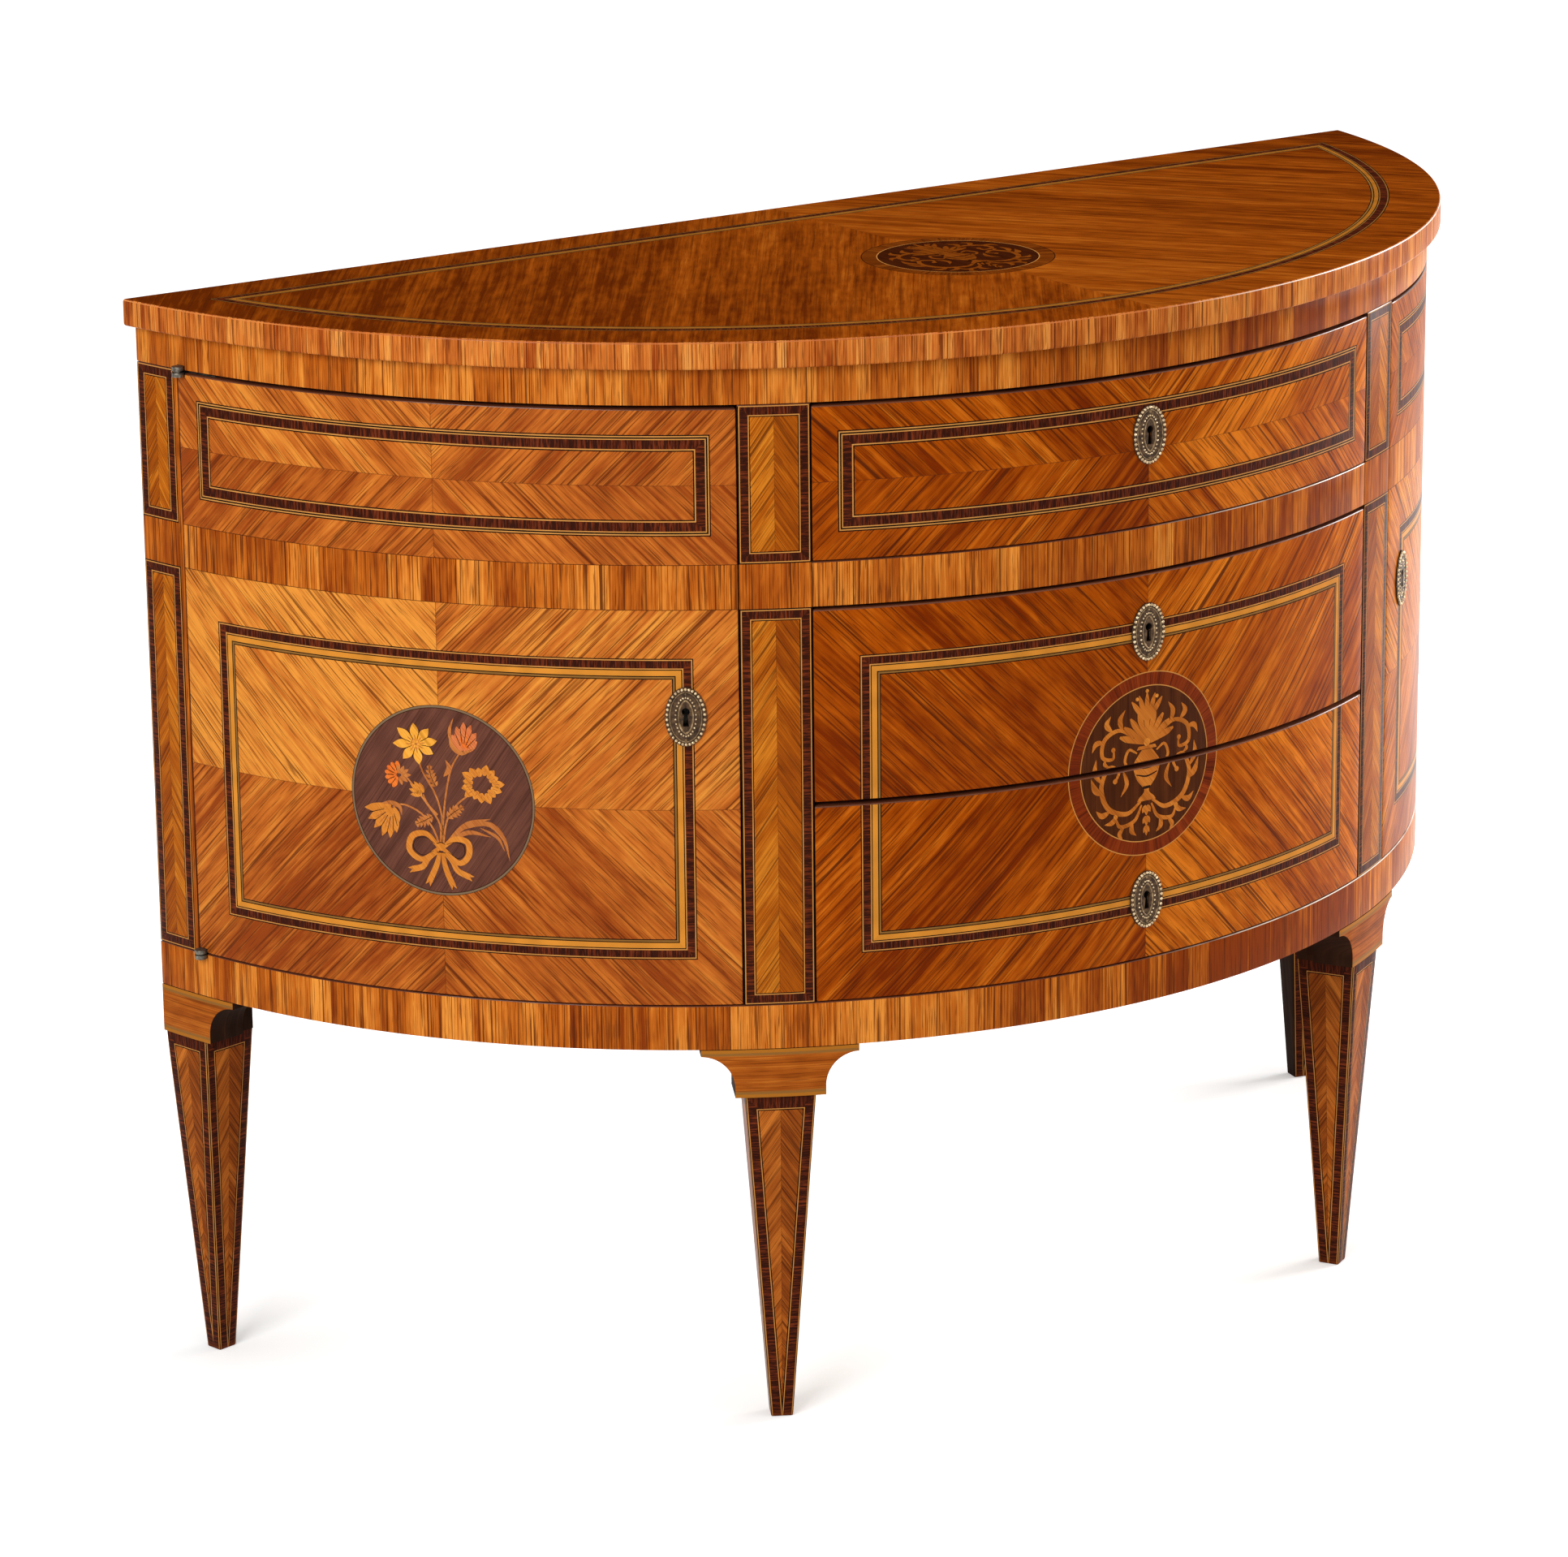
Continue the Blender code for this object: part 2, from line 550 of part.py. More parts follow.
def make_door(side, sign, materials):
    """A curved door hung at the back of the case on two knife hinges."""
    low, high = OPENING_BOTTOM_Z + FRONT_BOTTOM_GAP, FRIEZE_BOTTOM_Z - FRONT_TOP_GAP
    near, far = STILE_ANGLE + SIDE_GAP_ANGLE, DOOR_ANGLE - SIDE_GAP_ANGLE
    ends = (near, far) if sign > 0 else (-far, -near)
    door = curved_board(f"{side}_door", BODY_RADIUS - DOOR_THICKNESS, BODY_RADIUS, *ends, low, high,
                        materials["veneer"])
    keyhole_angle = sign * (STILE_ANGLE + DOOR_KEYHOLE_INSET / BODY_RADIUS)
    pieces = [door] + fit_lock(door, f"{side}_door", keyhole_angle, FRIEZE_BOTTOM_Z - DOOR_KEYHOLE_DROP,
                               DOOR_THICKNESS, materials)
    hinge_angle = sign * (far - HINGE_EYE_INSET / BODY_RADIUS)
    edges = (("upper", bpy.data.objects["frieze_rail"], high, FRIEZE_BOTTOM_Z),
             ("lower", bpy.data.objects["base_rail"], low, OPENING_BOTTOM_Z))
    for level, rail, door_edge, rail_edge in edges:
        pieces.append(make_hinge(f"{side}_{level}_hinge", hinge_angle, sign, door, rail, door_edge, rail_edge,
                                 materials))
    pivot_plan = plan_point(BODY_RADIUS + HINGE_EYE_PROUD, hinge_angle)
    pivot = empty_at(f"{side}_door_pivot", (*pivot_plan, OPENING_BOTTOM_Z))
    hang_on(pivot, pieces)


def main():
    clear_scene()
    materials = make_materials()
    make_case(materials)
    make_legs(materials)
    drawers = (("upper_drawer", MID_RAIL_TOP_Z, FRIEZE_BOTTOM_Z, FRIEZE_BOTTOM_Z - UPPER_KEYHOLE_DROP),
               ("middle_drawer", DRAWER_JOINT_Z, MID_RAIL_BOTTOM_Z, MID_RAIL_BOTTOM_Z - PANEL_KEYHOLE_INSET),
               ("lower_drawer", OPENING_BOTTOM_Z, DRAWER_JOINT_Z, OPENING_BOTTOM_Z + PANEL_KEYHOLE_INSET))
    for drawer in drawers:
        make_drawer(*drawer, materials)
    for side, sign in SIDES:
        make_door(side, sign, materials)


main()
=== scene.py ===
from functools import reduce
from math import acos, atan2, ceil, cos, pi, radians, sin, tau

import bmesh
import bpy
from mathutils import Matrix, Vector


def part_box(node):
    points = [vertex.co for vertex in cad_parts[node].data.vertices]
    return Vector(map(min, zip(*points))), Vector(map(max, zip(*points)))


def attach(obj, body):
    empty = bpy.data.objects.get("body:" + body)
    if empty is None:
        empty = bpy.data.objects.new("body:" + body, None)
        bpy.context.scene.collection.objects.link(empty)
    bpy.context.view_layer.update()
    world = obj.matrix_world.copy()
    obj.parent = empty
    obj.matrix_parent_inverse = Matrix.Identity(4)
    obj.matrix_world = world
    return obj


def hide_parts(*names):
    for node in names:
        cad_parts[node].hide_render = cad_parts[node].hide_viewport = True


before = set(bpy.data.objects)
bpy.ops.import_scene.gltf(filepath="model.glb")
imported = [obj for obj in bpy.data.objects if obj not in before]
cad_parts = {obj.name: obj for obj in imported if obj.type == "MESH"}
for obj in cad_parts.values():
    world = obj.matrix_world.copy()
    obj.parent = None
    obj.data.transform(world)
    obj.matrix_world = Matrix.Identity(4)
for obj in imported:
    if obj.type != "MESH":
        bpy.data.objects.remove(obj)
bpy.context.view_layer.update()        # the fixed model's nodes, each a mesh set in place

# The curved face, as lengths along it; the heights and the arc are read from the fixed model
face = {
    "drawerOpening": 0.583,
    "frontStile": 0.057,
    "backStile": 0.048,
    "sideGap": 0.001,        # on each side of a door or a drawer
    "seatGap": 0.0003,       # between fixed pieces
    "frameThickness": 0.026,
    "drawerThickness": 0.022,
    "doorThickness": 0.020,
    "arris": 0.0007,         # how far sharp edges are worn round
    "frontArris": 0.0011,    # the same on doors and drawers
    "topArris": 0.0022,      # the same on the top
    "topWear": 0.0012,       # what use has worn off the upper edges of doors and drawers
}


def heights(node):
    return [corner.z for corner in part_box(node)]


def middleOf(node):
    low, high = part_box(node)
    return (low + high) / 2


railLow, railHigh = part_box("base_rail")
backY = railHigh.y
frontY = railLow.y
centreY = (railHigh.x ** 2 + backY ** 2 - frontY ** 2) / (2 * (backY - frontY))
bodyRadius = centreY - frontY
caseLow, openingLow = heights("base_rail")
midLow, midHigh = heights("mid_rail")
friezeLow = heights("frieze_rail")[0]
topLow, topHigh = heights("top_panel")
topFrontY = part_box("top_panel")[0].y
topRadius = centreY - topFrontY
bracketLow, bracketHigh = heights("front_left_bracket")
panelMiddle = (openingLow + midLow) / 2
upperMiddle = (midHigh + friezeLow) / 2

drawerAngle = face["drawerOpening"] / 2 / bodyRadius
stileAngle = drawerAngle + face["frontStile"] / bodyRadius
backAngle = acos((centreY - backY) / bodyRadius)
doorAngle = backAngle - face["backStile"] / bodyRadius
gapAngle = face["sideGap"] / bodyRadius
doorCentre = (stileAngle + doorAngle) / 2 * bodyRadius
sides = (("left", -1), ("right", 1))
drawers = ("upper_drawer", "middle_drawer", "lower_drawer")
doors = ("left_door", "right_door")

keyhole = {
    "radius": 0.0032, "slotTop": 0.0030, "slotFoot": 0.0048, "rise": 0.0042, "drop": 0.0078,
    "lockWidth": 0.056, "lockHeight": 0.044, "lockDepth": 0.011,
}


# Small helpers for modelling by hand

def letGo():
    if bpy.context.mode != "OBJECT":
        bpy.ops.object.mode_set(mode="OBJECT")
    bpy.ops.object.select_all(action="DESELECT")


def pick(piece):
    letGo()
    piece.select_set(True)
    bpy.context.view_layer.objects.active = piece


def openMesh(piece):
    pick(piece)
    bpy.ops.object.mode_set(mode="EDIT")
    bpy.ops.mesh.select_mode(type="FACE")
    bpy.ops.mesh.select_all(action="SELECT")


def closeMesh(outwards=True):
    if outwards:
        bpy.ops.mesh.select_all(action="SELECT")
        bpy.ops.mesh.normals_make_consistent(inside=False)
    bpy.ops.object.mode_set(mode="OBJECT")


def begun(name, add, stretch=(1, 1, 1), **settings):
    # one of Blender's basic meshes, to be worked into a piece
    letGo()
    add(**settings)
    piece = bpy.context.object
    piece.name = name
    piece.scale = stretch
    pick(piece)
    bpy.ops.object.transform_apply(location=True, rotation=True, scale=True)
    return piece


def block(name, low, high):
    size = [end - start for start, end in zip(low, high)]
    middle = [(start + end) / 2 for start, end in zip(low, high)]
    return begun(name, bpy.ops.mesh.primitive_cube_add, size, size=1, location=middle)


def rod(name, radius, length, location, rotation=(pi / 2, 0, 0), vertices=48):
    return begun(name, bpy.ops.mesh.primitive_cylinder_add, vertices=vertices, radius=radius, depth=length,
                 location=location, rotation=rotation)


def drawnOut(piece, move):
    # gives a flat piece its thickness
    openMesh(piece)
    bpy.ops.mesh.extrude_region_move(TRANSFORM_OT_translate={"value": move})
    closeMesh()
    return piece


def slab(name, outline, move):
    # a flat outline, set point by point and drawn out
    piece = begun(name, bpy.ops.mesh.primitive_circle_add, vertices=len(outline), fill_type="NGON")
    for vertex, point in zip(piece.data.vertices, outline):
        vertex.co = point
    return drawnOut(piece, move)


def trim(point, outwards, fill=True):
    # cuts an open mesh along a plane and drops what lies beyond it
    bpy.ops.mesh.select_all(action="SELECT")
    bpy.ops.mesh.bisect(plane_co=point, plane_no=outwards, use_fill=fill, clear_outer=True)


def trimAtWall(fill=True):
    trim((0, backY, 0), (0, 1, 0), fill)


def selectFaces(piece, test):
    bpy.ops.mesh.select_all(action="DESELECT")
    mesh = bmesh.from_edit_mesh(piece.data)
    for polygon in mesh.faces:
        polygon.select_set(test(polygon.calc_center_median(), polygon.normal))
    mesh.select_flush_mode()
    bmesh.update_edit_mesh(piece.data)


def turned(piece, angle):
    # turns a piece about the centre of the case's arc
    middle = Matrix.Translation((0, centreY, 0))
    piece.data.transform(middle @ Matrix.Rotation(angle, 4, "Z") @ middle.inverted())
    return piece


def angleOf(point):
    return atan2(point.x, centreY - point.y)


def applied(piece, kind, **settings):
    pick(piece)
    modifier = piece.modifiers.new(kind, kind)
    for name, value in settings.items():
        setattr(modifier, name, value)
    bpy.ops.object.modifier_apply(modifier=modifier.name)


def soften(piece, width=face["arris"], segments=2):
    applied(piece, "BEVEL", width=width, segments=segments, limit_method="ANGLE", angle_limit=radians(40))


def combine(piece, other, operation="DIFFERENCE"):
    applied(piece, "BOOLEAN", operation=operation, solver="EXACT", object=other)
    bpy.data.objects.remove(other)


def copied(piece, name):
    twin = bpy.data.objects.new(name, piece.data.copy())
    bpy.context.scene.collection.objects.link(twin)
    return twin


def joined(name, pieces):
    pick(pieces[0])
    for piece in pieces:
        piece.select_set(True)
    bpy.ops.object.join()
    pieces[0].name = name
    return pieces[0]


def bentBoard(name, thickness, start, stop, low, high, atWall=False):
    # an upright slice of board, swept round the case's arc
    inner = bodyRadius - thickness
    middle = (0, centreY - (inner + bodyRadius) / 2, (low + high) / 2)
    board = begun(name, bpy.ops.mesh.primitive_plane_add, (high - low, bodyRadius - inner, 1), size=1,
                  location=middle, rotation=(0, pi / 2, 0))
    turned(board, start)
    openMesh(board)
    steps = ceil((stop - start) / radians(1))
    bpy.ops.mesh.spin(steps=steps, angle=start - stop, center=(0, centreY, 0), axis=(0, 0, 1))
    bpy.ops.mesh.select_all(action="SELECT")
    bpy.ops.mesh.remove_doubles(threshold=1e-6)
    if atWall:
        trimAtWall()
    closeMesh()
    return board


def dress(piece, materials, choose):
    piece.data.materials.clear()
    for material in materials:
        piece.data.materials.append(material)
    for polygon in piece.data.polygons:
        polygon.material_index = choose(polygon.center, polygon.normal)


def onBentBoard(keyAngle=None, keyHeight=0.0):
    # 0 the show face, 1 the plain back, 2 the edges, 3 the worn upper arris, dressed dark as painted shade of
    # the gaps (with a painted highlight on some boards), 4 inside the keyhole, painted black as shade
    def choose(centre, normal):
        across = Vector((centre.x, centre.y - centreY))
        facing = Vector((normal.x, normal.y)).dot(across.normalized())
        if keyAngle is not None and facing < 0.6:
            aside = bodyRadius * (angleOf(centre) - keyAngle)
            if abs(aside) < keyhole["radius"] * 1.5 and abs(centre.z - keyHeight) < keyhole["drop"] * 1.2:
                return 4
        if across.length > bodyRadius - 0.004 and facing > 0.1:
            return 3 if normal.z > 0.2 else 0
        return 1 if facing < -0.6 else 2
    return choose


def finished(piece, body, slot, *nodes):
    pick(piece)
    bpy.ops.object.shade_smooth_by_angle(angle=radians(32))
    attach(piece, body)
    if nodes:
        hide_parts(*nodes)


# Small helpers for shaders: every node is added to the tree at hand

work = {"tree": None, "material": None}


class Flow:
    # a value on its way through the tree; the usual signs add the nodes for them
    def __init__(self, socket):
        self.socket = socket

    def __add__(self, other):
        return calc("ADD", self, other)

    def __sub__(self, other):
        return calc("SUBTRACT", self, other)

    def __rsub__(self, other):
        return calc("SUBTRACT", other, self)

    def __mul__(self, other):
        return calc("MULTIPLY", self, other)

    def __truediv__(self, other):
        return calc("DIVIDE", self, other)

    def __gt__(self, other):
        return calc("GREATER_THAN", self, other)

    def __lt__(self, other):
        return calc("LESS_THAN", self, other)

    def __abs__(self):
        return calc("ABSOLUTE", self)


def feed(socket, value):
    if isinstance(value, Flow):
        work["tree"].links.new(value.socket, socket)
    else:
        socket.default_value = value


def addNode(kind, inputs=None, output=0, **settings):
    # gives back one output of the new node, or several
    made = work["tree"].nodes.new(kind)
    for name, value in settings.items():
        setattr(made, name, value)
    for key, value in (inputs or {}).items():
        feed(made.inputs[key], value)
    if isinstance(output, tuple):
        return [Flow(made.outputs[key]) for key in output]
    return Flow(made.outputs[output])


def calc(operation, *values):
    return addNode("ShaderNodeMath", dict(enumerate(values)), operation=operation)


def least(*values):
    return reduce(lambda first, second: calc("MINIMUM", first, second), values)


def greatest(*values):
    return reduce(lambda first, second: calc("MAXIMUM", first, second), values)


def between(value, low, high):
    # 1 where the value lies between low and high
    return (value > low) * (value < high)


def spread(value, low, high, newLow=0.0, newHigh=1.0):
    return addNode("ShaderNodeMapRange", {"Value": value, "From Min": low, "From Max": high,
                                          "To Min": newLow, "To Max": newHigh})


def vectorOf(x, y, z=0.0):
    return addNode("ShaderNodeCombineXYZ", {"X": x, "Y": y, "Z": z})


def split(vector, axes="XYZ"):
    return addNode("ShaderNodeSeparateXYZ", {0: vector}, tuple(axes))


def lengthOf(vector):
    return addNode("ShaderNodeVectorMath", {0: vector}, "Value", operation="LENGTH")


def scaled(vector, rate):
    return addNode("ShaderNodeVectorMath", {0: vector, "Scale": rate}, operation="SCALE")


def noise(place, detail=2.0, roughness=0.5):
    return addNode("ShaderNodeTexNoise", {"Vector": place, "Scale": 1.0, "Detail": detail,
                                          "Roughness": roughness}, "Fac")


def leafCells(position, output="Color", feature="F1"):
    return addNode("ShaderNodeTexVoronoi", {"W": position, "Scale": 1.0}, output, voronoi_dimensions="1D",
                   feature=feature)


def chanceOf(position):
    # one chance value for each leaf in a row
    return addNode("ShaderNodeSeparateColor", {0: leafCells(position)})


def mixed(factor, first, second, blend="MIX"):
    return addNode("ShaderNodeMix", {0: factor, 6: first, 7: second}, 2, data_type="RGBA", blend_type=blend)


def mixedValue(factor, first, second):
    return addNode("ShaderNodeMix", {0: factor, 2: first, 3: second})


def ramp(factor, stops, interpolation="LINEAR"):
    made = addNode("ShaderNodeValToRGB", {"Fac": factor}, "Color")
    bar = made.socket.node.color_ramp
    bar.interpolation = interpolation
    for index, (position, colour) in enumerate(stops):
        stop = bar.elements[index] if index < 2 else bar.elements.new(position)
        stop.position = position
        stop.color = colour
    return made


def label(name):
    # "leafWidth" reads "Leaf Width" on a node
    return "".join(" " + letter if letter.isupper() else letter for letter in name).title()


def shared(name, gives, **takes):
    # turns a function into a node group; calling it then adds the group to the tree at hand
    def build(function):
        group = bpy.data.node_groups.new(name, "ShaderNodeTree")
        for key, default in takes.items():
            kind = "Vector" if default is None else "Color" if isinstance(default, tuple) else "Float"
            socket = group.interface.new_socket(label(key), in_out="INPUT", socket_type="NodeSocket" + kind)
            if default is not None:
                socket.default_value = default
        for key in gives:
            kind = "Color" if key == "Color" else "Float"
            group.interface.new_socket(key, in_out="OUTPUT", socket_type="NodeSocket" + kind)
        work["tree"] = group
        start = group.nodes.new("NodeGroupInput").outputs
        end = group.nodes.new("NodeGroupOutput").inputs
        results = function(**{key: Flow(start[label(key)]) for key in takes})
        for key, value in zip(gives, results):
            feed(end[key], value)

        def use(**inputs):
            return addNode("ShaderNodeGroup", {label(key): value for key, value in inputs.items()}, gives,
                           node_tree=group)
        return use
    return build


def newMaterial(name):
    # starts a material and gives back where each point lies on the object
    material = bpy.data.materials.new(name)
    material.use_nodes = True
    work.update(tree=material.node_tree, material=material)
    return addNode("ShaderNodeTexCoord", output="Object")


def finishMaterial(shine=0.5, **inputs):
    shader = work["tree"].nodes["Principled BSDF"]
    feed(shader.inputs["Specular IOR Level"], shine)
    for key, value in inputs.items():
        feed(shader.inputs[label(key)], value)
    return work["material"]


print("shared shader groups")


def paint(red, green, blue):
    # a colour as a painter reads it, 0 to 255, turned into linear light
    def linear(level):
        level = level / 255
        return level / 12.92 if level <= 0.04045 else ((level + 0.055) / 1.055) ** 2.4
    return (linear(red), linear(green), linear(blue), 1.0)


def shades(*colours):
    return [paint(*colour) for colour in colours]


woods = {
    "redBrown": paint(120, 54, 20),
    "dark": paint(84, 38, 14),
    "pore": paint(50, 22, 8),
    "boxwood": paint(206, 132, 46),
    "oldBoxwood": paint(166, 102, 32),
    "light": paint(196, 134, 66),
    "green": paint(136, 94, 44),
    "black": paint(18, 10, 6),
    "rosewood": paint(50, 20, 11),
    "rosewoodLight": paint(124, 52, 24),
    "grey": paint(120, 98, 74),
    # painted highlight: the pale of the glinting edges
    "paintedGlint": paint(252, 238, 220),
}
palettes = {
    "door": shades((142, 62, 18), (192, 104, 36), (224, 144, 56)),
    "drawer": shades((116, 40, 1), (168, 76, 6), (216, 118, 26)),
    "rail": shades((132, 54, 10), (188, 98, 26), (226, 142, 56)),
    "topEdge": shades((140, 56, 14), (200, 110, 42), (228, 150, 70)),
    "stile": shades((128, 56, 8), (170, 86, 14), (208, 126, 34)),
    "leg": shades((108, 48, 14), (152, 76, 22), (194, 110, 40)),
    "bracket": shades((118, 52, 10), (160, 80, 20), (192, 110, 38)),
    "top": shades((98, 38, 4), (146, 68, 10), (180, 96, 24)),
}
halfSeam = {"quarter": 0.00028, "strip": 0.00016, "herringbone": 0.0002, "top": 0.0003, "band": 0.0003}


@shared("unrolledFace", ("Along", "Height"), place=None, centre=centreY, radius=bodyRadius)
def unrolledFace(place, centre, radius):
    # the curved face laid flat: metres along it from the middle, and height
    x, y, z = split(place)
    return calc("ARCTAN2", x, centre - y) * radius, z


@shared("quarterMatch", ("Across", "Lengthwise", "Seam", "Above", "East"), along=0.0, height=0.0,
        centreAlong=0.0, centreHeight=0.0)
def quarterMatch(along, height, centreAlong, centreHeight):
    # four leaves of veneer opened out from a centre, their grain running out at 45 degrees
    east = abs(along - centreAlong)
    north = abs(height - centreHeight)
    halfRoot = 0.5 ** 0.5
    return ((east - north) * halfRoot, (east + north) * halfRoot, least(east, north) < halfSeam["quarter"],
            height > centreHeight, along > centreAlong)


@shared("veneerGrain", ("Color", "Height"), across=0.0, lengthwise=0.0, seed=0.0, shade=0.0,
        dark=palettes["door"][0], middle=palettes["door"][1], light=palettes["door"][2],
        figure=60.0, leafWidth=0.05, leafContrast=0.3, streaks=0.7)
def veneerGrain(across, lengthwise, seed, shade, dark, middle, light, figure, leafWidth, leafContrast,
                streaks):
    # the figure of the veneer: broad colour, leaves side by side, a painted sheen of fine light flecks, dark
    # streaks and fine pores
    wander = noise(vectorOf(across * 8.0, lengthwise * 5.0, seed), 1.0)
    wavy = (wander - 0.5) * 0.004 + across

    def layer(acrossRate, lengthRate, shift, detail=2.0, roughness=0.5):
        return noise(vectorOf(wavy * acrossRate, lengthwise * lengthRate, seed + shift), detail, roughness)

    bands, fibre = layer(figure, 1.4, 0.0), layer(figure * 8.0, 7.0, 2.0)
    paintedSheen, mottle = layer(120.0, 34.0, 4.0), layer(26.0, 13.0, 12.0)
    tone = shade + 0.5
    for value, weight in ((bands, 1.15), (fibre, 1.15), (paintedSheen, 0.75), (mottle, 0.3),
                          (chanceOf(across / leafWidth + seed), leafContrast)):
        tone = (value - 0.5) * weight + tone
    colour = mixed(tone * 2.0 - 1.0, mixed(tone * 2.0, dark, middle), light)
    longStreaks = spread(layer(figure * 6.0, 2.2, 6.0, 3.0, 0.62), 0.60, 0.68)
    lines = spread(layer(640.0, 8.0, 8.0), 0.575, 0.65, 0.0, 0.9)
    pores = spread(layer(1300.0, 34.0, 10.0), 0.57, 0.65, 0.0, 0.75)
    darker = greatest(longStreaks, lines, pores) * streaks
    return mixed(darker, colour, mixed(0.7, dark, woods["pore"])), darker * -1.0


@shared("stripJoints", ("Chance", "Joint"), along=0.0, seed=0.0, stripWidth=0.02)
def stripJoints(along, seed, stripWidth):
    # narrow leaves laid side by side: a chance value for each leaf, and its joint lines
    position = along / stripWidth + seed
    gap = leafCells(position, "Distance", "DISTANCE_TO_EDGE") * stripWidth
    return chanceOf(position), gap < halfSeam["strip"]


@shared("frameInset", ("Inset", "Cross"), along=0.0, height=0.0, centreAlong=0.0, centreHeight=0.0,
        halfWidth=0.1, halfHeight=0.1)
def frameInset(along, height, centreAlong, centreHeight, halfWidth, halfHeight):
    # how far inside an oblong a point lies, and its place along the nearest side
    fromSide = halfWidth - abs(along - centreAlong)
    fromEnd = halfHeight - abs(height - centreHeight)
    return least(fromSide, fromEnd), mixedValue(fromSide < fromEnd, along, height)


@shared("rubbedPolish", ("Roughness", "Height"), place=None, gloss=0.30, patchiness=0.10)
def rubbedPolish(place, gloss, patchiness):
    # an old hand-rubbed polish: patchy gloss and a faint unevenness
    patches = noise(scaled(place, 14.0), 3.0, 0.6)
    return gloss + (patches - 0.5) * patchiness, noise(scaled(place, 60.0))


def makeBands(name, *bands):
    # bands of millimetre widths, from the outside in; rosewood is laid with its grain across the band
    total = sum(width for width, wood in bands)
    starts = [sum(width for width, wood in bands[:index]) / total for index in range(len(bands))]
    names = [wood for width, wood in bands]

    @shared(name, ("Color", "Mask"), inset=0.0, cross=0.0)
    def bandGroup(inset, cross):
        share = inset / (total / 1000)
        flat = ramp(share, list(zip(starts, [woods[wood] for wood in names])), "CONSTANT")
        levels = [(float(wood == "rosewood"),) * 3 + (1.0,) for wood in names]
        isRosewood = ramp(share, list(zip(starts, levels)), "CONSTANT")
        grain = noise(vectorOf(cross * 700.0, inset * 60.0), 3.0, 0.6)
        warm = mixed(spread(grain, 0.46, 0.66, 0.0, 0.8), flat, woods["rosewoodLight"])
        shade = spread(noise(vectorOf(cross * 45.0, 0.0), 1.0), 0.3, 0.7, 0.86, 1.1)
        colour = mixed(1.0, mixed(isRosewood, flat, warm), vectorOf(shade, shade, shade), "MULTIPLY")
        return colour, between(share, 0.0, 1.0)
    return bandGroup


panelBands = makeBands(
    "panelBands", (0.8, "black"), (0.9, "light"), (6.2, "rosewood"), (0.9, "light"), (0.8, "black"),
    (4.3, "boxwood"), (0.8, "black"), (1.5, "green"), (0.8, "black"))
drawerBands = makeBands(
    "drawerBands", (0.9, "black"), (1.0, "light"), (1.2, "black"), (0.9, "light"), (7.4, "rosewood"),
    (1.0, "light"), (1.0, "black"))
stileBands = makeBands(
    "stileBands", (1.0, "black"), (0.8, "light"), (6.5, "rosewood"), (0.8, "light"), (0.8, "black"))
topBands = makeBands(
    "topBands", (0.8, "black"), (0.9, "green"), (6.2, "rosewood"), (0.9, "green"), (0.8, "black"),
    (3.4, "oldBoxwood"), (0.8, "black"), (1.5, "green"), (0.8, "black"))
legBands = makeBands(
    "legBands", (0.8, "black"), (0.7, "light"), (6.8, "rosewood"), (0.7, "light"), (0.9, "black"))


def veneer(colours, across, lengthwise, seed, figure, leafWidth=0.4, leafContrast=0.0, streaks=0.5,
           shade=0.0):
    dark, middle, light = colours
    return veneerGrain(across=across, lengthwise=lengthwise, seed=seed, shade=shade, dark=dark,
                       middle=middle, light=light, figure=figure, leafWidth=leafWidth,
                       leafContrast=leafContrast, streaks=streaks)


def faceMaterial(name):
    # a material for the curved face, with the place along it and the height
    place = newMaterial(name)
    return place, *unrolledFace(place=place)


def grainAt(lie, x, y):
    # across and along a grain that lies aslant
    return x * sin(lie) + y * cos(lie), x * cos(lie) + y * -sin(lie)


def finishWood(place, colour, height, gloss=0.30, shine=0.02, patchiness=0.10, grainDepth=0.00006):
    roughness, ripple = rubbedPolish(place=place, gloss=gloss, patchiness=patchiness)
    relief = height * 0.35 + ripple
    bump = addNode("ShaderNodeBump", {"Strength": 0.35, "Distance": grainDepth, "Height": relief})
    return finishMaterial(shine, baseColor=colour, roughness=roughness, normal=bump)


def stripWood(along, height, width, seed, colours, contrast=0.45, streaks=0.95, tone=0.0):
    # upright-grained leaves side by side, as on the rails
    chance, joint = stripJoints(along=along, seed=seed, stripWidth=width)
    shade = spread(chance, 0.0, 1.0, -contrast / 2, contrast / 2) + tone
    colour, relief = veneer(colours, along, height, chance * 37.0, 110.0, streaks=streaks, shade=shade)
    return mixed(joint * 0.7, colour, woods["pore"]), relief


def herringbone(along, height, centre, seed, colours, outerShade, figure=150.0, lie=radians(56)):
    # leaves whose grain falls away steeply from a seam down the middle
    east = along - centre
    away = abs(east)
    outerHalf = east > 0.0
    across, lengthwise = grainAt(lie, away, height)
    colour, relief = veneer(colours, across, lengthwise, outerHalf * 4.3 + seed, figure, 0.03, 0.2, 0.8,
                            outerHalf * outerShade - outerShade / 2)
    return mixed((away < halfSeam["herringbone"]) * 0.5, colour, woods["dark"]), relief


def framed(colour, bands, along, height, centreAlong, centreHeight, halfWidth, halfHeight):
    # lays bands over a colour, round an oblong
    inset, cross = frameInset(along=along, height=height, centreAlong=centreAlong, centreHeight=centreHeight,
                              halfWidth=halfWidth, halfHeight=halfHeight)
    band, mask = bands(inset=inset, cross=cross)
    return mixed(mask, colour, band)


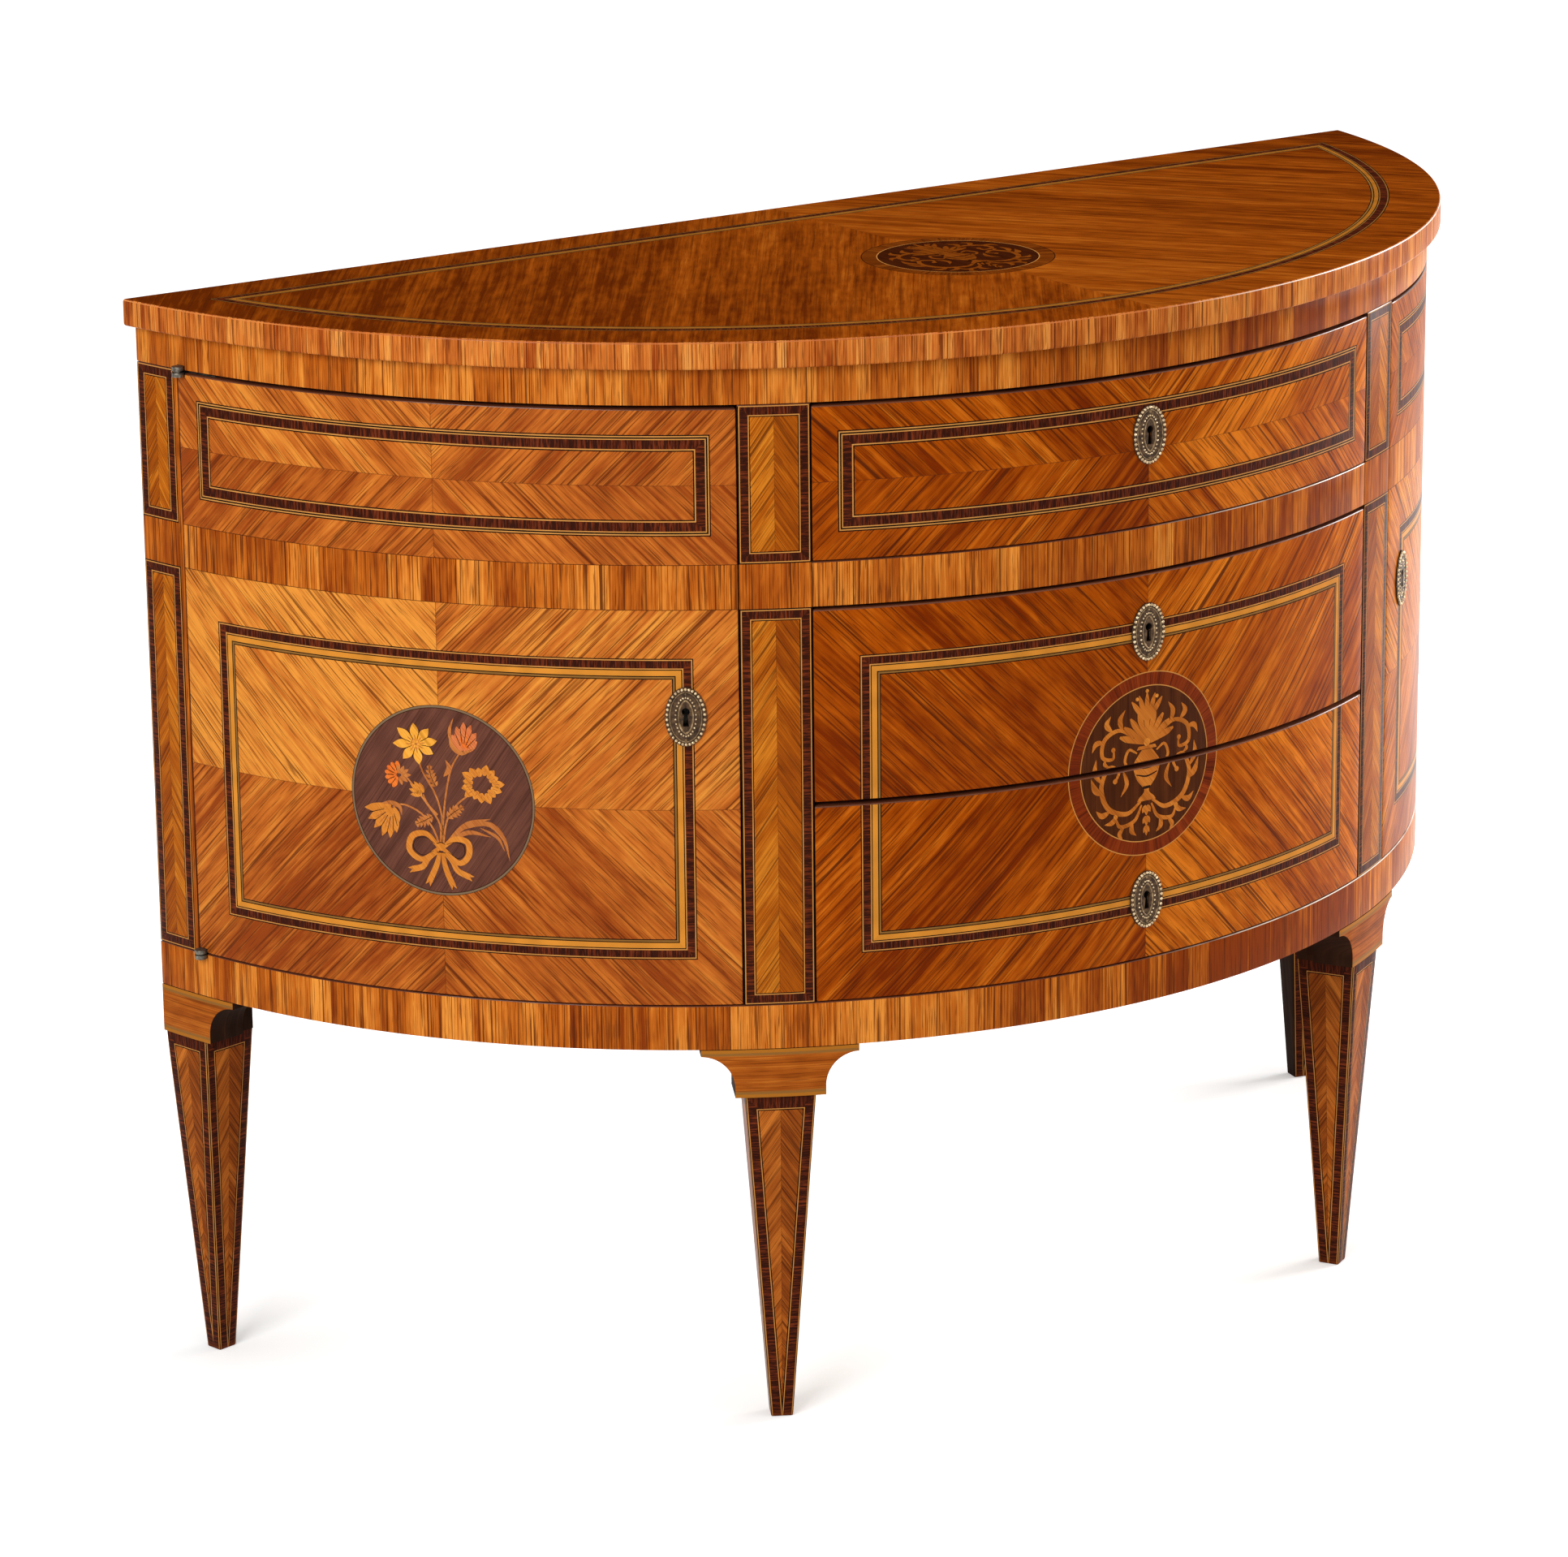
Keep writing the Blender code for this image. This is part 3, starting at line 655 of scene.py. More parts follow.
def medallionGround(colour, along, height, values):
    # the round of dark wood that a picture is let into, with its rings
    east = along - values["centreAlong"]
    north = height - values["medallionHeight"]
    reach = lengthOf(vectorOf(east, north))
    across, lengthwise = grainAt(values["groundTurn"], north, east)
    ground = veneer(values["ground"], across, lengthwise, 21.0, 130.0)[0]
    colour = mixed(reach < values["medallionRadius"], colour, ground)
    for inner, outer, wood in values["rings"]:
        if wood == "redRing":
            around = calc("ARCTAN2", north, east) * outer
            ring = veneer(values["ringColours"], around, reach, 5.0, 130.0, 0.03, 0.3, 0.6)[0]
        else:
            ring = woods[wood]
        colour = mixed(between(reach, inner, outer), colour, ring)
    return colour


doorPanels = {
    "colours": palettes["door"], "baseShade": -0.05, "upperShade": 0.20, "eastPaintedLightAbove": 0.26,
    "eastPaintedLightBelow": -0.08, "topDrawerShade": -0.25, "centreAlong": doorCentre,
    "panelMiddle": panelMiddle, "panelHalf": (0.2063, 0.1235), "upperHalf": (0.2216, 0.0405),
    "medallionRadius": 0.0785, "medallionHeight": panelMiddle,
    "rings": ((0.0781, 0.0785, "pore"), (0.0765, 0.0781, "grey"), (0.0759, 0.0765, "pore")),
    "ground": shades((72, 40, 31), (97, 58, 46), (118, 73, 56)), "groundTurn": 0.6,
}
drawerPanels = {
    "colours": palettes["drawer"], "baseShade": -0.20, "upperShade": -0.05, "eastPaintedLightAbove": 0.32,
    "eastPaintedLightBelow": 0.32, "topDrawerShade": 0.14, "centreAlong": 0.0,
    "panelMiddle": panelMiddle - 0.001, "panelHalf": (0.2540, 0.1225), "upperHalf": (0.2703, 0.0405),
    "medallionRadius": 0.0765, "medallionHeight": heights("lower_drawer_front")[1] + 0.0012,
    "rings": ((0.0757, 0.0765, "light"), (0.0652, 0.0757, "redRing"), (0.0644, 0.0652, "light")),
    "ringColours": shades((84, 26, 8), (122, 44, 12), (150, 62, 18)),
    "ground": shades((48, 20, 8), (76, 36, 14), (94, 48, 20)), "groundTurn": 0.0,
}
topPanel = {
    "margin": 0.044, "grainAngle": radians(54), "awayPaintedShade": -0.6, "rightShade": 0.15, "baseShade": -0.06,
    "centreAlong": 0.0, "medallionRadius": 0.080, "medallionHeight": (topFrontY + backY) / 2 - 0.002,
    "rings": ((0.0792, 0.080, "pore"), (0.0672, 0.0792, "redRing"), (0.0664, 0.0672, "light")),
    "ringColours": shades((82, 34, 6), (114, 52, 8), (138, 70, 16)),
    "ground": shades((40, 14, 4), (62, 24, 8), (76, 32, 10)), "groundTurn": 0.0,
}


def makePanelledVeneer(name, values, seed):
    # quarter-matched veneer with its inlaid frames: the lower panel, the mid band and the upper panel
    place, signedAlong, height = faceMaterial(name)
    along = abs(signedAlong) if values["centreAlong"] else signedAlong
    midMiddle, halfMid = (midLow + midHigh) / 2, (midHigh - midLow) / 2
    isUpper = height > midMiddle
    across, lengthwise, seam, above, east = quarterMatch(
        along=along, height=height, centreAlong=values["centreAlong"],
        centreHeight=mixedValue(isUpper, panelMiddle, upperMiddle))
    seeds = east * 0.35 + (above * 5.7 + (isUpper * 9.1 + seed))
    shade = above * values["upperShade"] + -0.6 * values["upperShade"]
    # painted light and sheen: the leaves east of the centre are lightened, for the sheen of the grain and the
    # light falling on them from the right; a negative amount darkens them
    shade = east * mixedValue(above, values["eastPaintedLightBelow"], values["eastPaintedLightAbove"]) + shade
    shade = isUpper * above * values["topDrawerShade"] + shade + values["baseShade"]
    colour, relief = veneer(values["colours"], across, lengthwise, seeds, 42.0, 0.07, 0.26, 0.9, shade)
    colour = mixed(seam * 0.55, colour, woods["dark"])
    colour = framed(colour, panelBands, along, height, values["centreAlong"], values["panelMiddle"],
                    *values["panelHalf"])
    colour = framed(colour, drawerBands, along, height, values["centreAlong"], upperMiddle,
                    *values["upperHalf"])
    colour = medallionGround(colour, along, height, values)
    band = stripWood(signedAlong, height, 0.030, seed + 2.0, palettes["rail"], 0.6, 1.0, 0.06)[0]
    colour = mixed(between(height, midLow, midHigh), colour, band)
    joint = between(abs(height - midMiddle), halfMid - halfSeam["band"], halfMid + halfSeam["band"])
    return finishWood(place, mixed(joint * 0.8, colour, woods["pore"]), relief)


def makeStileVeneer(name, centre, halfWidth, seed, outerShade):
    place, signedAlong, height = faceMaterial(name)
    along = abs(signedAlong)
    colour, relief = herringbone(along, height, centre, seed, palettes["stile"], outerShade)
    plain = stripWood(signedAlong, height, 0.05, seed, palettes["rail"])[0]
    for middle, half in ((panelMiddle, (midLow - openingLow) / 2), (upperMiddle, (friezeLow - midHigh) / 2)):
        colour = framed(colour, stileBands, along, height, centre, middle, halfWidth, half)
    isPlain = greatest(abs(along - centre) > halfWidth, between(height, midLow, midHigh))
    return finishWood(place, mixed(isPlain, colour, plain), relief)


def makeRailVeneer(name, width, seed, colours, contrast, tone=0.0, dip=0.0):
    # painted shade: the leaves are darkened most just right of the middle, where the arc turns away from the
    # light, and not at all at either end
    place, along, height = faceMaterial(name)
    level = calc("FLOOR", height * 5.0) * 13.0
    darker = least(spread(along, -0.20, 0.12), spread(along, 0.36, 0.24))
    colour, relief = stripWood(along, height, width, level + seed, colours, contrast,
                               tone=darker * dip + tone)
    return finishWood(place, colour, relief)


def makeTopVeneer():
    # book-matched about the middle, with a frame that follows the arc and the straight back
    place = newMaterial("topVeneer")
    x, y = split(place, "XY")
    away = abs(x)
    rightHalf = x > 0.0
    across, lengthwise = grainAt(topPanel["grainAngle"], away, y)
    # painted shade: the top is darkened towards both ends, against the key lamp's light at the far left
    shade = away * topPanel["awayPaintedShade"] + (rightHalf * topPanel["rightShade"] + topPanel["baseShade"])
    colour, relief = veneer(palettes["top"], across, lengthwise, rightHalf * 0.4 + 31.0, 34.0, 0.12, 0.2,
                            shade=shade)
    colour = mixed((away < halfSeam["top"]) * 0.4, colour, woods["dark"])
    fromArc = topRadius - lengthOf(vectorOf(x, y - centreY))
    fromBack = backY - y
    cross = mixedValue(fromArc < fromBack, x, unrolledFace(place=place)[0])
    band, mask = topBands(inset=least(fromArc, fromBack) - topPanel["margin"], cross=cross)
    colour = medallionGround(mixed(mask, colour, band), x, y, topPanel)
    return finishWood(place, colour, relief, 0.26, 0.0)


def makeBracketVeneer():
    # lengthwise grain between a pale band at the top and one at the foot
    place, along, height = faceMaterial("bracketVeneer")
    colour, relief = veneer(palettes["bracket"], height, along, 12.0, 150.0, streaks=0.6)
    for edge, direction in ((bracketHigh, -1), (bracketLow, 1)):
        inset = (height - edge) * direction
        colour = mixed(spread(inset, 0.0058, 0.0044, 0.0, 0.9), colour, woods["green"])
        colour = mixed(inset < 0.0028, colour, woods["oldBoxwood"])
    return finishWood(place, colour, relief, 0.34)


legPlaceMap, legTaperMap = "legPlace", "legTaper"


def makeLegVeneer():
    # each face carries its own place: across from its middle line, and height; and half its width there
    place = newMaterial("legVeneer")
    across, height = split(addNode("ShaderNodeUVMap", uv_map=legPlaceMap), "XY")
    halfWidth, legHeight = split(addNode("ShaderNodeUVMap", uv_map=legTaperMap), "XY")
    colour, relief = herringbone(across, height, 0.0, 8.0, palettes["leg"], -0.34, 240.0)
    fromSide = halfWidth - abs(across)
    fromTop = legHeight - height
    inset = least(fromSide, greatest(fromTop - 0.0024, 0.0016))
    cross = mixedValue(fromSide < fromTop, across, height)
    band, mask = legBands(inset=greatest(inset, 0.00001), cross=cross)
    wornFoot = spread(height, 0.006, 0.0, 0.0, 0.6)
    return finishWood(place, mixed(wornFoot, mixed(mask, colour, band), woods["redBrown"]), relief)


def makePlainWood(name, acrossAxis, alongAxis, colours, gloss=0.6, shine=0.15):
    # solid wood, its grain running along one of the frame's own directions, or along the bend
    place = newMaterial(name)
    parts = dict(zip("XYZ", split(place)))
    across = parts[acrossAxis]
    if alongAxis == "bend":
        lengthwise = unrolledFace(place=place)[0]
    else:
        lengthwise = parts[alongAxis]
        other = next(axis for axis in "XYZ" if axis not in (acrossAxis, alongAxis))
        across = parts[other] * 0.35 + across
    colour, relief = veneer(colours, across, lengthwise, 2.0, 60.0, 0.11, 0.3, 0.35)
    return finishWood(place, colour, relief, gloss, shine, 0.15, 0.0002)


def makePaintedGlintEdge(name, colours):
    # painted highlight: the polished edges are made pale in patches in the right half, where the light
    # catches them
    place, along, height = faceMaterial(name)
    colour, relief = veneer(colours, height, along, 6.0, 60.0, 0.11, 0.3, 0.35)
    patches = noise(vectorOf(along * 16.0, height * 5.0), 2.0, 0.6)
    paintedGlintShare = spread(along, 0.0, 0.2) * spread(patches, 0.34, 0.52, 0.25, 1.0)
    return finishWood(place, mixed(paintedGlintShare, colour, woods["paintedGlint"]), relief, 0.2, 0.3)


def makeInlayWood(name, colours, seed, shine):
    # the little pieces of the pictures, each with a fine slanting grain
    place, along, height = faceMaterial(name)
    slant = 0.7
    across, lengthwise = grainAt(slant, height, along)
    colour, relief = veneer(colours, across, lengthwise, seed, 160.0, streaks=0.35)
    return finishWood(place, colour, relief, shine=shine)


def makeMetal(name, roughness, scale, *colours):
    # cast metal: dark in the hollows, rubbed bright on what stands up
    patches = noise(scaled(newMaterial(name), scale), 4.0, 0.65)
    colour = ramp(patches, list(zip((0.35, 0.52, 0.70), shades(*colours))))
    bump = addNode("ShaderNodeBump", {"Strength": 0.5, "Distance": 0.0001, "Height": patches})
    rough = spread(patches, 0.3, 0.7, roughness + 0.12, roughness - 0.08)
    return finishMaterial(baseColor=colour, roughness=rough, normal=bump, metallic=0.75)


print("materials")

doorVeneer = makePanelledVeneer("doorVeneer", doorPanels, 1.0)
drawerVeneer = makePanelledVeneer("drawerVeneer", drawerPanels, 3.3)
frontStileVeneer = makeStileVeneer("frontStileVeneer", (drawerAngle + stileAngle) / 2 * bodyRadius,
                                   face["frontStile"] / 2, 6.0, 0.34)
backStileWidth = 0.0442
backStileVeneer = makeStileVeneer("backStileVeneer", backAngle * bodyRadius - backStileWidth / 2,
                                  backStileWidth / 2, 14.0, -0.28)
railVeneer = makeRailVeneer("railVeneer", 0.024, 4.0, palettes["rail"], 0.6, 0.12, -0.32)
baseVeneer = makeRailVeneer("baseVeneer", 0.024, 4.0, palettes["rail"], 0.7, 0.06, -0.55)
topEdgeVeneer = makeRailVeneer("topEdgeVeneer", 0.010, 17.0, palettes["topEdge"], 0.5)
topVeneer = makeTopVeneer()
bracketVeneer = makeBracketVeneer()
legVeneer = makeLegVeneer()
# painted shade: the upper arrises are dark brown, for the shade in the gaps above the fronts and rails
paintedShadeArrisColours = shades((66, 28, 10), (92, 44, 18), (118, 62, 30))
pineColours = shades((150, 110, 66), (190, 150, 98), (214, 176, 124))
darkPineColours = shades((110, 76, 44), (146, 106, 64), (172, 132, 86))
groundWood = makePlainWood("groundWood", "Z", "bend", shades((104, 62, 34), (140, 92, 54), (166, 116, 72)))
edgeWood = makePlainWood("edgeWood", "Z", "bend", shades((70, 34, 22), (98, 52, 34), (120, 68, 44)), 0.4, 0.1)
paintedShadeArrisWood = makePlainWood("paintedShadeArrisWood", "Z", "bend", paintedShadeArrisColours, 0.2, 0.3)
paintedShadeAndGlintArris = makePaintedGlintEdge("paintedShadeAndGlintArris", paintedShadeArrisColours)
paintedGlintTopEdge = makePaintedGlintEdge("paintedGlintTopEdge", palettes["topEdge"])
# painted shade: the walls inside the keyholes are near black
soot = makePlainWood("soot", "X", "Z", shades((8, 6, 5), (14, 10, 8), (20, 15, 12)), 0.8)
darkWood = makePlainWood("darkWood", "X", "Z", shades((24, 13, 8), (42, 24, 15), (66, 40, 25)), 0.6, 0.02)
pineCrosswise = makePlainWood("pineCrosswise", "Y", "X", pineColours, 0.7)
pineLengthwise = makePlainWood("pineLengthwise", "Z", "Y", pineColours, 0.7)
pineUpright = makePlainWood("pineUpright", "X", "Z", darkPineColours, 0.75)
patinaAndShadeBronze = makeMetal("agedAndShadedBronze", 0.5, 260.0, (40, 26, 14), (66, 46, 28), (96, 72, 46))
wornAndLitBronze = makeMetal("wornAndLitBronze", 0.36, 260.0, (80, 60, 38), (118, 94, 64), (166, 140, 104))
wornAndLitBeadBronze = makeMetal("wornAndLitBeadBronze", 0.26, 260.0, (132, 108, 78), (182, 158, 122), (226, 206, 172))
steel = makeMetal("hingeSteel", 0.45, 300.0, (58, 54, 48), (92, 86, 76), (130, 124, 112))
iron = makeMetal("forgedIron", 0.6, 120.0, (26, 22, 19), (44, 39, 34), (66, 59, 51))

pictureWoods = {"dark": darkWood}
for wood, seed, shine, *colours in (
        ("daffodil", 41.0, 0.02, (206, 130, 38), (232, 158, 54), (242, 178, 76)),
        ("tulip", 43.0, 0.02, (170, 84, 44), (204, 108, 60), (222, 134, 80)),
        ("carnation", 45.0, 0.02, (196, 80, 22), (226, 112, 42), (236, 140, 60)),
        ("petal", 47.0, 0.02, (176, 96, 30), (212, 130, 48), (228, 152, 64)),
        ("leaf", 49.0, 0.02, (152, 82, 38), (184, 108, 52), (204, 128, 66)),
        ("urn", 51.0, 0.02, (148, 78, 22), (190, 106, 36), (210, 128, 48)),
        ("topUrn", 53.0, 0.0, (98, 42, 6), (128, 62, 12), (148, 80, 20)),
        ("ribbon", 55.0, 0.02, (178, 100, 34), (206, 124, 46), (222, 144, 60)),
        ("topDark", 57.0, 0.0, (30, 12, 4), (44, 18, 6), (58, 26, 8))):
    pictureWoods[wood] = makeInlayWood(wood + "Wood", shades(*colours), seed, shine)


print("case")

sideOverrun = radians(4)
hinge = {
    "eye": 0.0050, "proud": 0.0035, "neck": 0.0080, "tongueStart": 0.0050, "tongueEnd": 0.0130,
    "tongueLength": 0.034, "inset": 0.0045, "clearance": 0.0003, "washer": 0.0030, "arris": 0.0004,
}
hingeAngle = doorAngle - gapAngle - hinge["inset"] / bodyRadius


def makeTopBoard():
    board = begun("half_round_top", bpy.ops.mesh.primitive_circle_add, vertices=720, radius=topRadius,
                  fill_type="NGON", location=(0, centreY, topLow))
    openMesh(board)
    trimAtWall(fill=False)
    drawnOut(board, (0, 0, topHigh - topLow))
    soften(board, face["topArris"], 4)
    # slot 3, one narrow band of the upper arris, carries the painted highlight
    dress(board, (topVeneer, topEdgeVeneer, groundWood, paintedGlintTopEdge), lambda centre, normal:
          0 if normal.z > 0.98 else 2 if normal.z < -0.98 or normal.y > 0.9 else
          3 if 0.45 < normal.z < 0.7 and normal.y < 0.3 else 1)
    finished(board, "case", "top_veneer", "top_panel")


def eyeOutline(radius, halfNeck, hand, count):
    # most of a circle, open towards a neck
    opening = acos(halfNeck / radius)
    turns = [hand * ((pi + 2 * opening) * step / count - opening) for step in range(count + 1)]
    return [(radius * cos(turn), radius * sin(turn)) for turn in turns]


def hingeLeaf(name, sign, low, high, grow=0.0):
    # a knife hinge: an eye in front of the face, a neck, and a tongue let into the edge
    neck = hinge["neck"] / 2 + grow
    start, end = hinge["tongueStart"] - grow, hinge["tongueEnd"] + grow
    far = hinge["tongueLength"] + grow
    plan = [(x, y - hinge["proud"]) for x, y in eyeOutline(hinge["eye"] + grow, neck, -1, 40)]
    plan += [(-neck, end), (far, end), (far, start), (neck, start)]
    outline = [(-sign * x, frontY + y, low) for x, y in plan]
    return turned(slab(name, outline, (0, 0, high - low)), sign * hingeAngle)


def hingePocket(sign, low, high):
    gap = hinge["clearance"]
    return hingeLeaf("pocket", sign, low - gap, high + gap, gap)


def makeHingePlates():
    for side, sign in sides:
        for level, edge in (("upper", friezeLow), ("lower", openingLow)):
            name = f"{side}_{level}_hinge"
            railEnds, doorEnds = heights(f"{name}_rail_plate"), heights(f"{name}_door_plate")
            # the pin sticks out of the rail's plate, through a washer
            railEnds[0 if level == "upper" else 1] = edge
            facing = doorEnds[1 if level == "upper" else 0]
            for part, body, ends in (("rail", "case", railEnds), ("door", f"{side}_door", doorEnds)):
                leaf = hingeLeaf(f"{name}_{part}_leaf", sign, *ends)
                soften(leaf, hinge["arris"])
                if part == "rail":
                    middle = (0, frontY - hinge["proud"], (edge + facing) / 2)
                    washer = rod("washer", hinge["washer"], abs(edge - facing), middle, (0, 0, 0))
                    combine(leaf, turned(washer, sign * hingeAngle), "UNION")
                # painted shade: the tongue, in the gap behind the face, takes the darker iron; the eye in
                # front keeps the steel
                dress(leaf, (steel, iron), lambda centre, normal:
                      int(Vector((centre.x, centre.y - centreY)).length < bodyRadius))
                finished(leaf, body, "aged_brass", f"{name}_{part}_plate")


def makeRails():
    seat = face["seatGap"] / bodyRadius
    whole = (-backAngle - sideOverrun, backAngle + sideOverrun)
    for name, node, ends, level, veneers in (
            ("frieze_banding", "frieze_rail", whole, "upper", (railVeneer, groundWood, edgeWood, paintedShadeArrisWood)),
            ("base_banding", "base_rail", whole, "lower", (baseVeneer, groundWood, edgeWood, paintedShadeAndGlintArris)),
            ("middle_banding", "mid_rail", (seat - drawerAngle, drawerAngle - seat), None,
             (railVeneer, groundWood, edgeWood, paintedShadeAndGlintArris))):
        rail = bentBoard(name, face["frameThickness"], *ends, *heights(node), level is not None)
        soften(rail)
        for side, sign in sides if level else ():
            low, high = heights(f"{side}_{level}_hinge_rail_plate")
            combine(rail, hingePocket(sign, *((friezeLow, high) if level == "upper" else (low, openingLow))))
        dress(rail, veneers, onBentBoard())
        finished(rail, "case", "crossbanding", node)


def makeStiles():
    for side, sign in sides:
        for place, ends, material in (("front", (drawerAngle, stileAngle), frontStileVeneer),
                                      ("back", (doorAngle, backAngle + sideOverrun), backStileVeneer)):
            node = f"{place}_{side}_stile"
            start, stop = sorted(sign * end for end in ends)
            stile = bentBoard(f"{place}_{side}_pilaster", face["frameThickness"], start, stop, *heights(node),
                              place == "back")
            soften(stile)
            dress(stile, (material, groundWood, edgeWood, paintedShadeArrisWood), onBentBoard())
            finished(stile, "case", "veneer", node)


makeTopBoard()
makeRails()
makeStiles()


print("legs and brackets")

leg = {
    "frontWidth": 0.057, "backWidth": 0.050, "depth": 0.052,
    "frontFoot": 0.018, "backFoot": 0.016, "footDepth": 0.018, "setback": 0.003, "arris": 0.0012,
    "bracketThickness": 0.036, "ledge": 0.008, "cove": 0.027, "coveRise": 0.008, "coveDepth": 0.2,
}
legTop = bracketLow - face["seatGap"]
legMiddleY = frontY + leg["setback"] + leg["depth"] / 2


def makeLeg(name, width, footWidth):
    # a tapering post under the bracket, and the block behind it
    post = begun(name, bpy.ops.mesh.primitive_cube_add, (width, leg["depth"], legTop), size=1,
                 location=(0, legMiddleY, legTop / 2))
    openMesh(post)
    selectFaces(post, lambda centre, normal: normal.z < -0.5)
    bpy.ops.transform.resize(value=(footWidth / width, leg["footDepth"] / leg["depth"], 1))
    bpy.ops.mesh.select_all(action="SELECT")
    bpy.ops.mesh.subdivide(number_cuts=3)
    closeMesh(outwards=False)
    soften(post, leg["arris"])

    place = post.data.uv_layers.new(name=legPlaceMap)
    taper = post.data.uv_layers.new(name=legTaperMap)
    for polygon in post.data.polygons:
        onSide = abs(polygon.normal.x) > abs(polygon.normal.y)
        for corner in polygon.loop_indices:
            point = post.data.vertices[post.data.loops[corner].vertex_index].co
            share = point.z / legTop
            if onSide:
                across, wide = point.y - legMiddleY, leg["footDepth"] * (1 - share) + leg["depth"] * share
            else:
                across, wide = point.x, footWidth * (1 - share) + width * share
            place.data[corner].uv = (across, point.z)
            taper.data[corner].uv = (wide / 2, legTop)
    dress(post, (legVeneer, darkWood), lambda centre, normal: int(normal.y > 0.5 or abs(normal.z) > 0.7))

    head = block("head", (-width / 2, frontY + leg["bracketThickness"] + face["seatGap"], legTop - 0.001),
                 (width / 2, legMiddleY + leg["depth"] / 2, caseLow - face["seatGap"]))
    dress(head, (darkWood,), lambda centre, normal: 0)
    return joined(name, [post, head])


def makeBracket(name, halfWidth, freeEnds):
    # a curved facing with a cove cut in each free end
    foot = halfWidth + leg["ledge"]
    reach = foot + leg["cove"]
    wide = reach / bodyRadius + radians(2)
    bracket = bentBoard(name, leg["bracketThickness"], -wide, wide, bracketLow, bracketHigh)
    openMesh(bracket)
    for end in freeEnds:
        trim((end * reach, 0, 0), (end, 0, 0))
    closeMesh()
    coveZ = bracketLow + leg["coveRise"]
    deep = leg["coveDepth"]
    for end in freeEnds:
        combine(bracket, rod("cove", leg["cove"], deep, (end * reach, frontY, coveZ), vertices=96))
        inner, outer = sorted((end * foot, end * (reach + leg["cove"])))
        combine(bracket, block("ledge", (inner, frontY - deep / 2, bracketLow - leg["cove"]),
                               (outer, frontY + deep / 2, coveZ)))
    soften(bracket, leg["arris"], 3)
    return bracket


def makeLegs():
    for side, sign in sides:
        for place, angle, freeEnds in (("front", (drawerAngle + stileAngle) / 2, (-1, 1)),
                                       ("back", (doorAngle + backAngle) / 2, (-sign,))):
            width = leg[place + "Width"]
            post = makeLeg(f"{place}_{side}_tapered_leg", width, leg[place + "Foot"])
            bracket = makeBracket(f"{place}_{side}_coved_bracket", width / 2, freeEnds)
            for piece in (post, bracket):
                turned(piece, sign * angle)
                if place == "back":
                    openMesh(piece)
                    trimAtWall()
                    closeMesh(outwards=False)
            dress(bracket, (bracketVeneer, darkWood), lambda centre, normal:
                  int(onBentBoard()(centre, normal) != 0))
            finished(post, "case", "leg_veneer", f"{place}_{side}_leg")
            finished(bracket, "case", "crossbanding", f"{place}_{side}_bracket")


makeLegs()


print("drawer fronts and doors")


def keyholeCutter(far):
    # a round hole with a slot that widens downwards, at the middle of the front
    halfFoot, before = keyhole["slotFoot"] / 2, 0.02
    arc = eyeOutline(keyhole["radius"], keyhole["slotTop"] / 2, 1, 24)
    outline = [(x, z + keyhole["rise"]) for x, z in arc]
    outline += [(-halfFoot, -keyhole["drop"]), (halfFoot, -keyhole["drop"])]
    return slab("keyhole", [(x, frontY - before, z) for x, z in outline], (0, before + far, 0))


def fitLock(board, angle, height, thickness):
    # lets the lock into the back of the board and pierces it for the key
    deep, gap = keyhole["lockDepth"], face["seatGap"]
    x, z = keyhole["lockWidth"] / 2 + gap, keyhole["lockHeight"] / 2 + gap
    recess = block("recess", (-x, frontY + thickness - deep - gap, height - z),
                   (x, frontY + thickness + deep, height + z))
    combine(board, turned(recess, angle))
    cutter = keyholeCutter(thickness - deep + gap)
    cutter.data.transform(Matrix.Translation((0, 0, height)))
    combine(board, turned(cutter, angle))


def makeFront(name, node, body, thickness, start, stop, material, pockets=()):
    low, high = heights(node)
    board = bentBoard(name, thickness, start, stop, low, high - face["topWear"])
    soften(board, face["frontArris"], 3)
    plate = middleOf(f"{body}_escutcheon")
    fitLock(board, angleOf(plate), plate.z, thickness)
    for sign, pocketLow, pocketHigh in pockets:
        combine(board, hingePocket(sign, pocketLow, pocketHigh))
    dress(board, (material, groundWood, edgeWood, paintedShadeArrisWood, soot), onBentBoard(angleOf(plate), plate.z))
    finished(board, body, "veneer", node)


def makeFronts():
    edge = drawerAngle - gapAngle
    for drawer in drawers:
        makeFront(f"{drawer}_bow_front", f"{drawer}_front", drawer, face["drawerThickness"], -edge, edge,
                  drawerVeneer)
    for side, sign in sides:
        start, stop = sorted((sign * (stileAngle + gapAngle), sign * (doorAngle - gapAngle)))
        pockets = [(sign, *heights(f"{side}_{level}_hinge_door_plate")) for level in ("upper", "lower")]
        makeFront(f"{side}_door_leaf", f"{side}_door", f"{side}_door", face["doorThickness"], start, stop,
                  doorVeneer, pockets)


makeFronts()
makeHingePlates()


print("keyhole plates")

plate = {
    "width": 0.033, "height": 0.048, "thickness": 0.0008,
    # each step inwards: how far in, and how far up
    "steps": ((0.0032, 0.0), (0.0003, 0.0005), (0.0007, 0.0), (0.0003, -0.0003), (0.0024, 0.0001),
              (0.0028, -0.0001), (0.0004, 0.0005), (0.0008, 0.0), (0.0004, -0.0003)),
    "ridge": 0.00045,        # what stands higher than this takes the rubbed bronze, partly a painted highlight; the rest the darker bronze, partly painted shade
    # two rings of beads: how many, their radius, and how far in from the rim
    "rings": ((34, 0.00138, 0.0016), (26, 0.00088, 0.0084)),
    "pin": 0.0011, "pinHeight": 0.0186,
}


def bead(material, segments, radius, location):
    piece = begun("bead", bpy.ops.mesh.primitive_uv_sphere_add, segments=segments, ring_count=segments // 2,
                  radius=radius, location=location)
    piece.data.materials.append(material)
    return piece


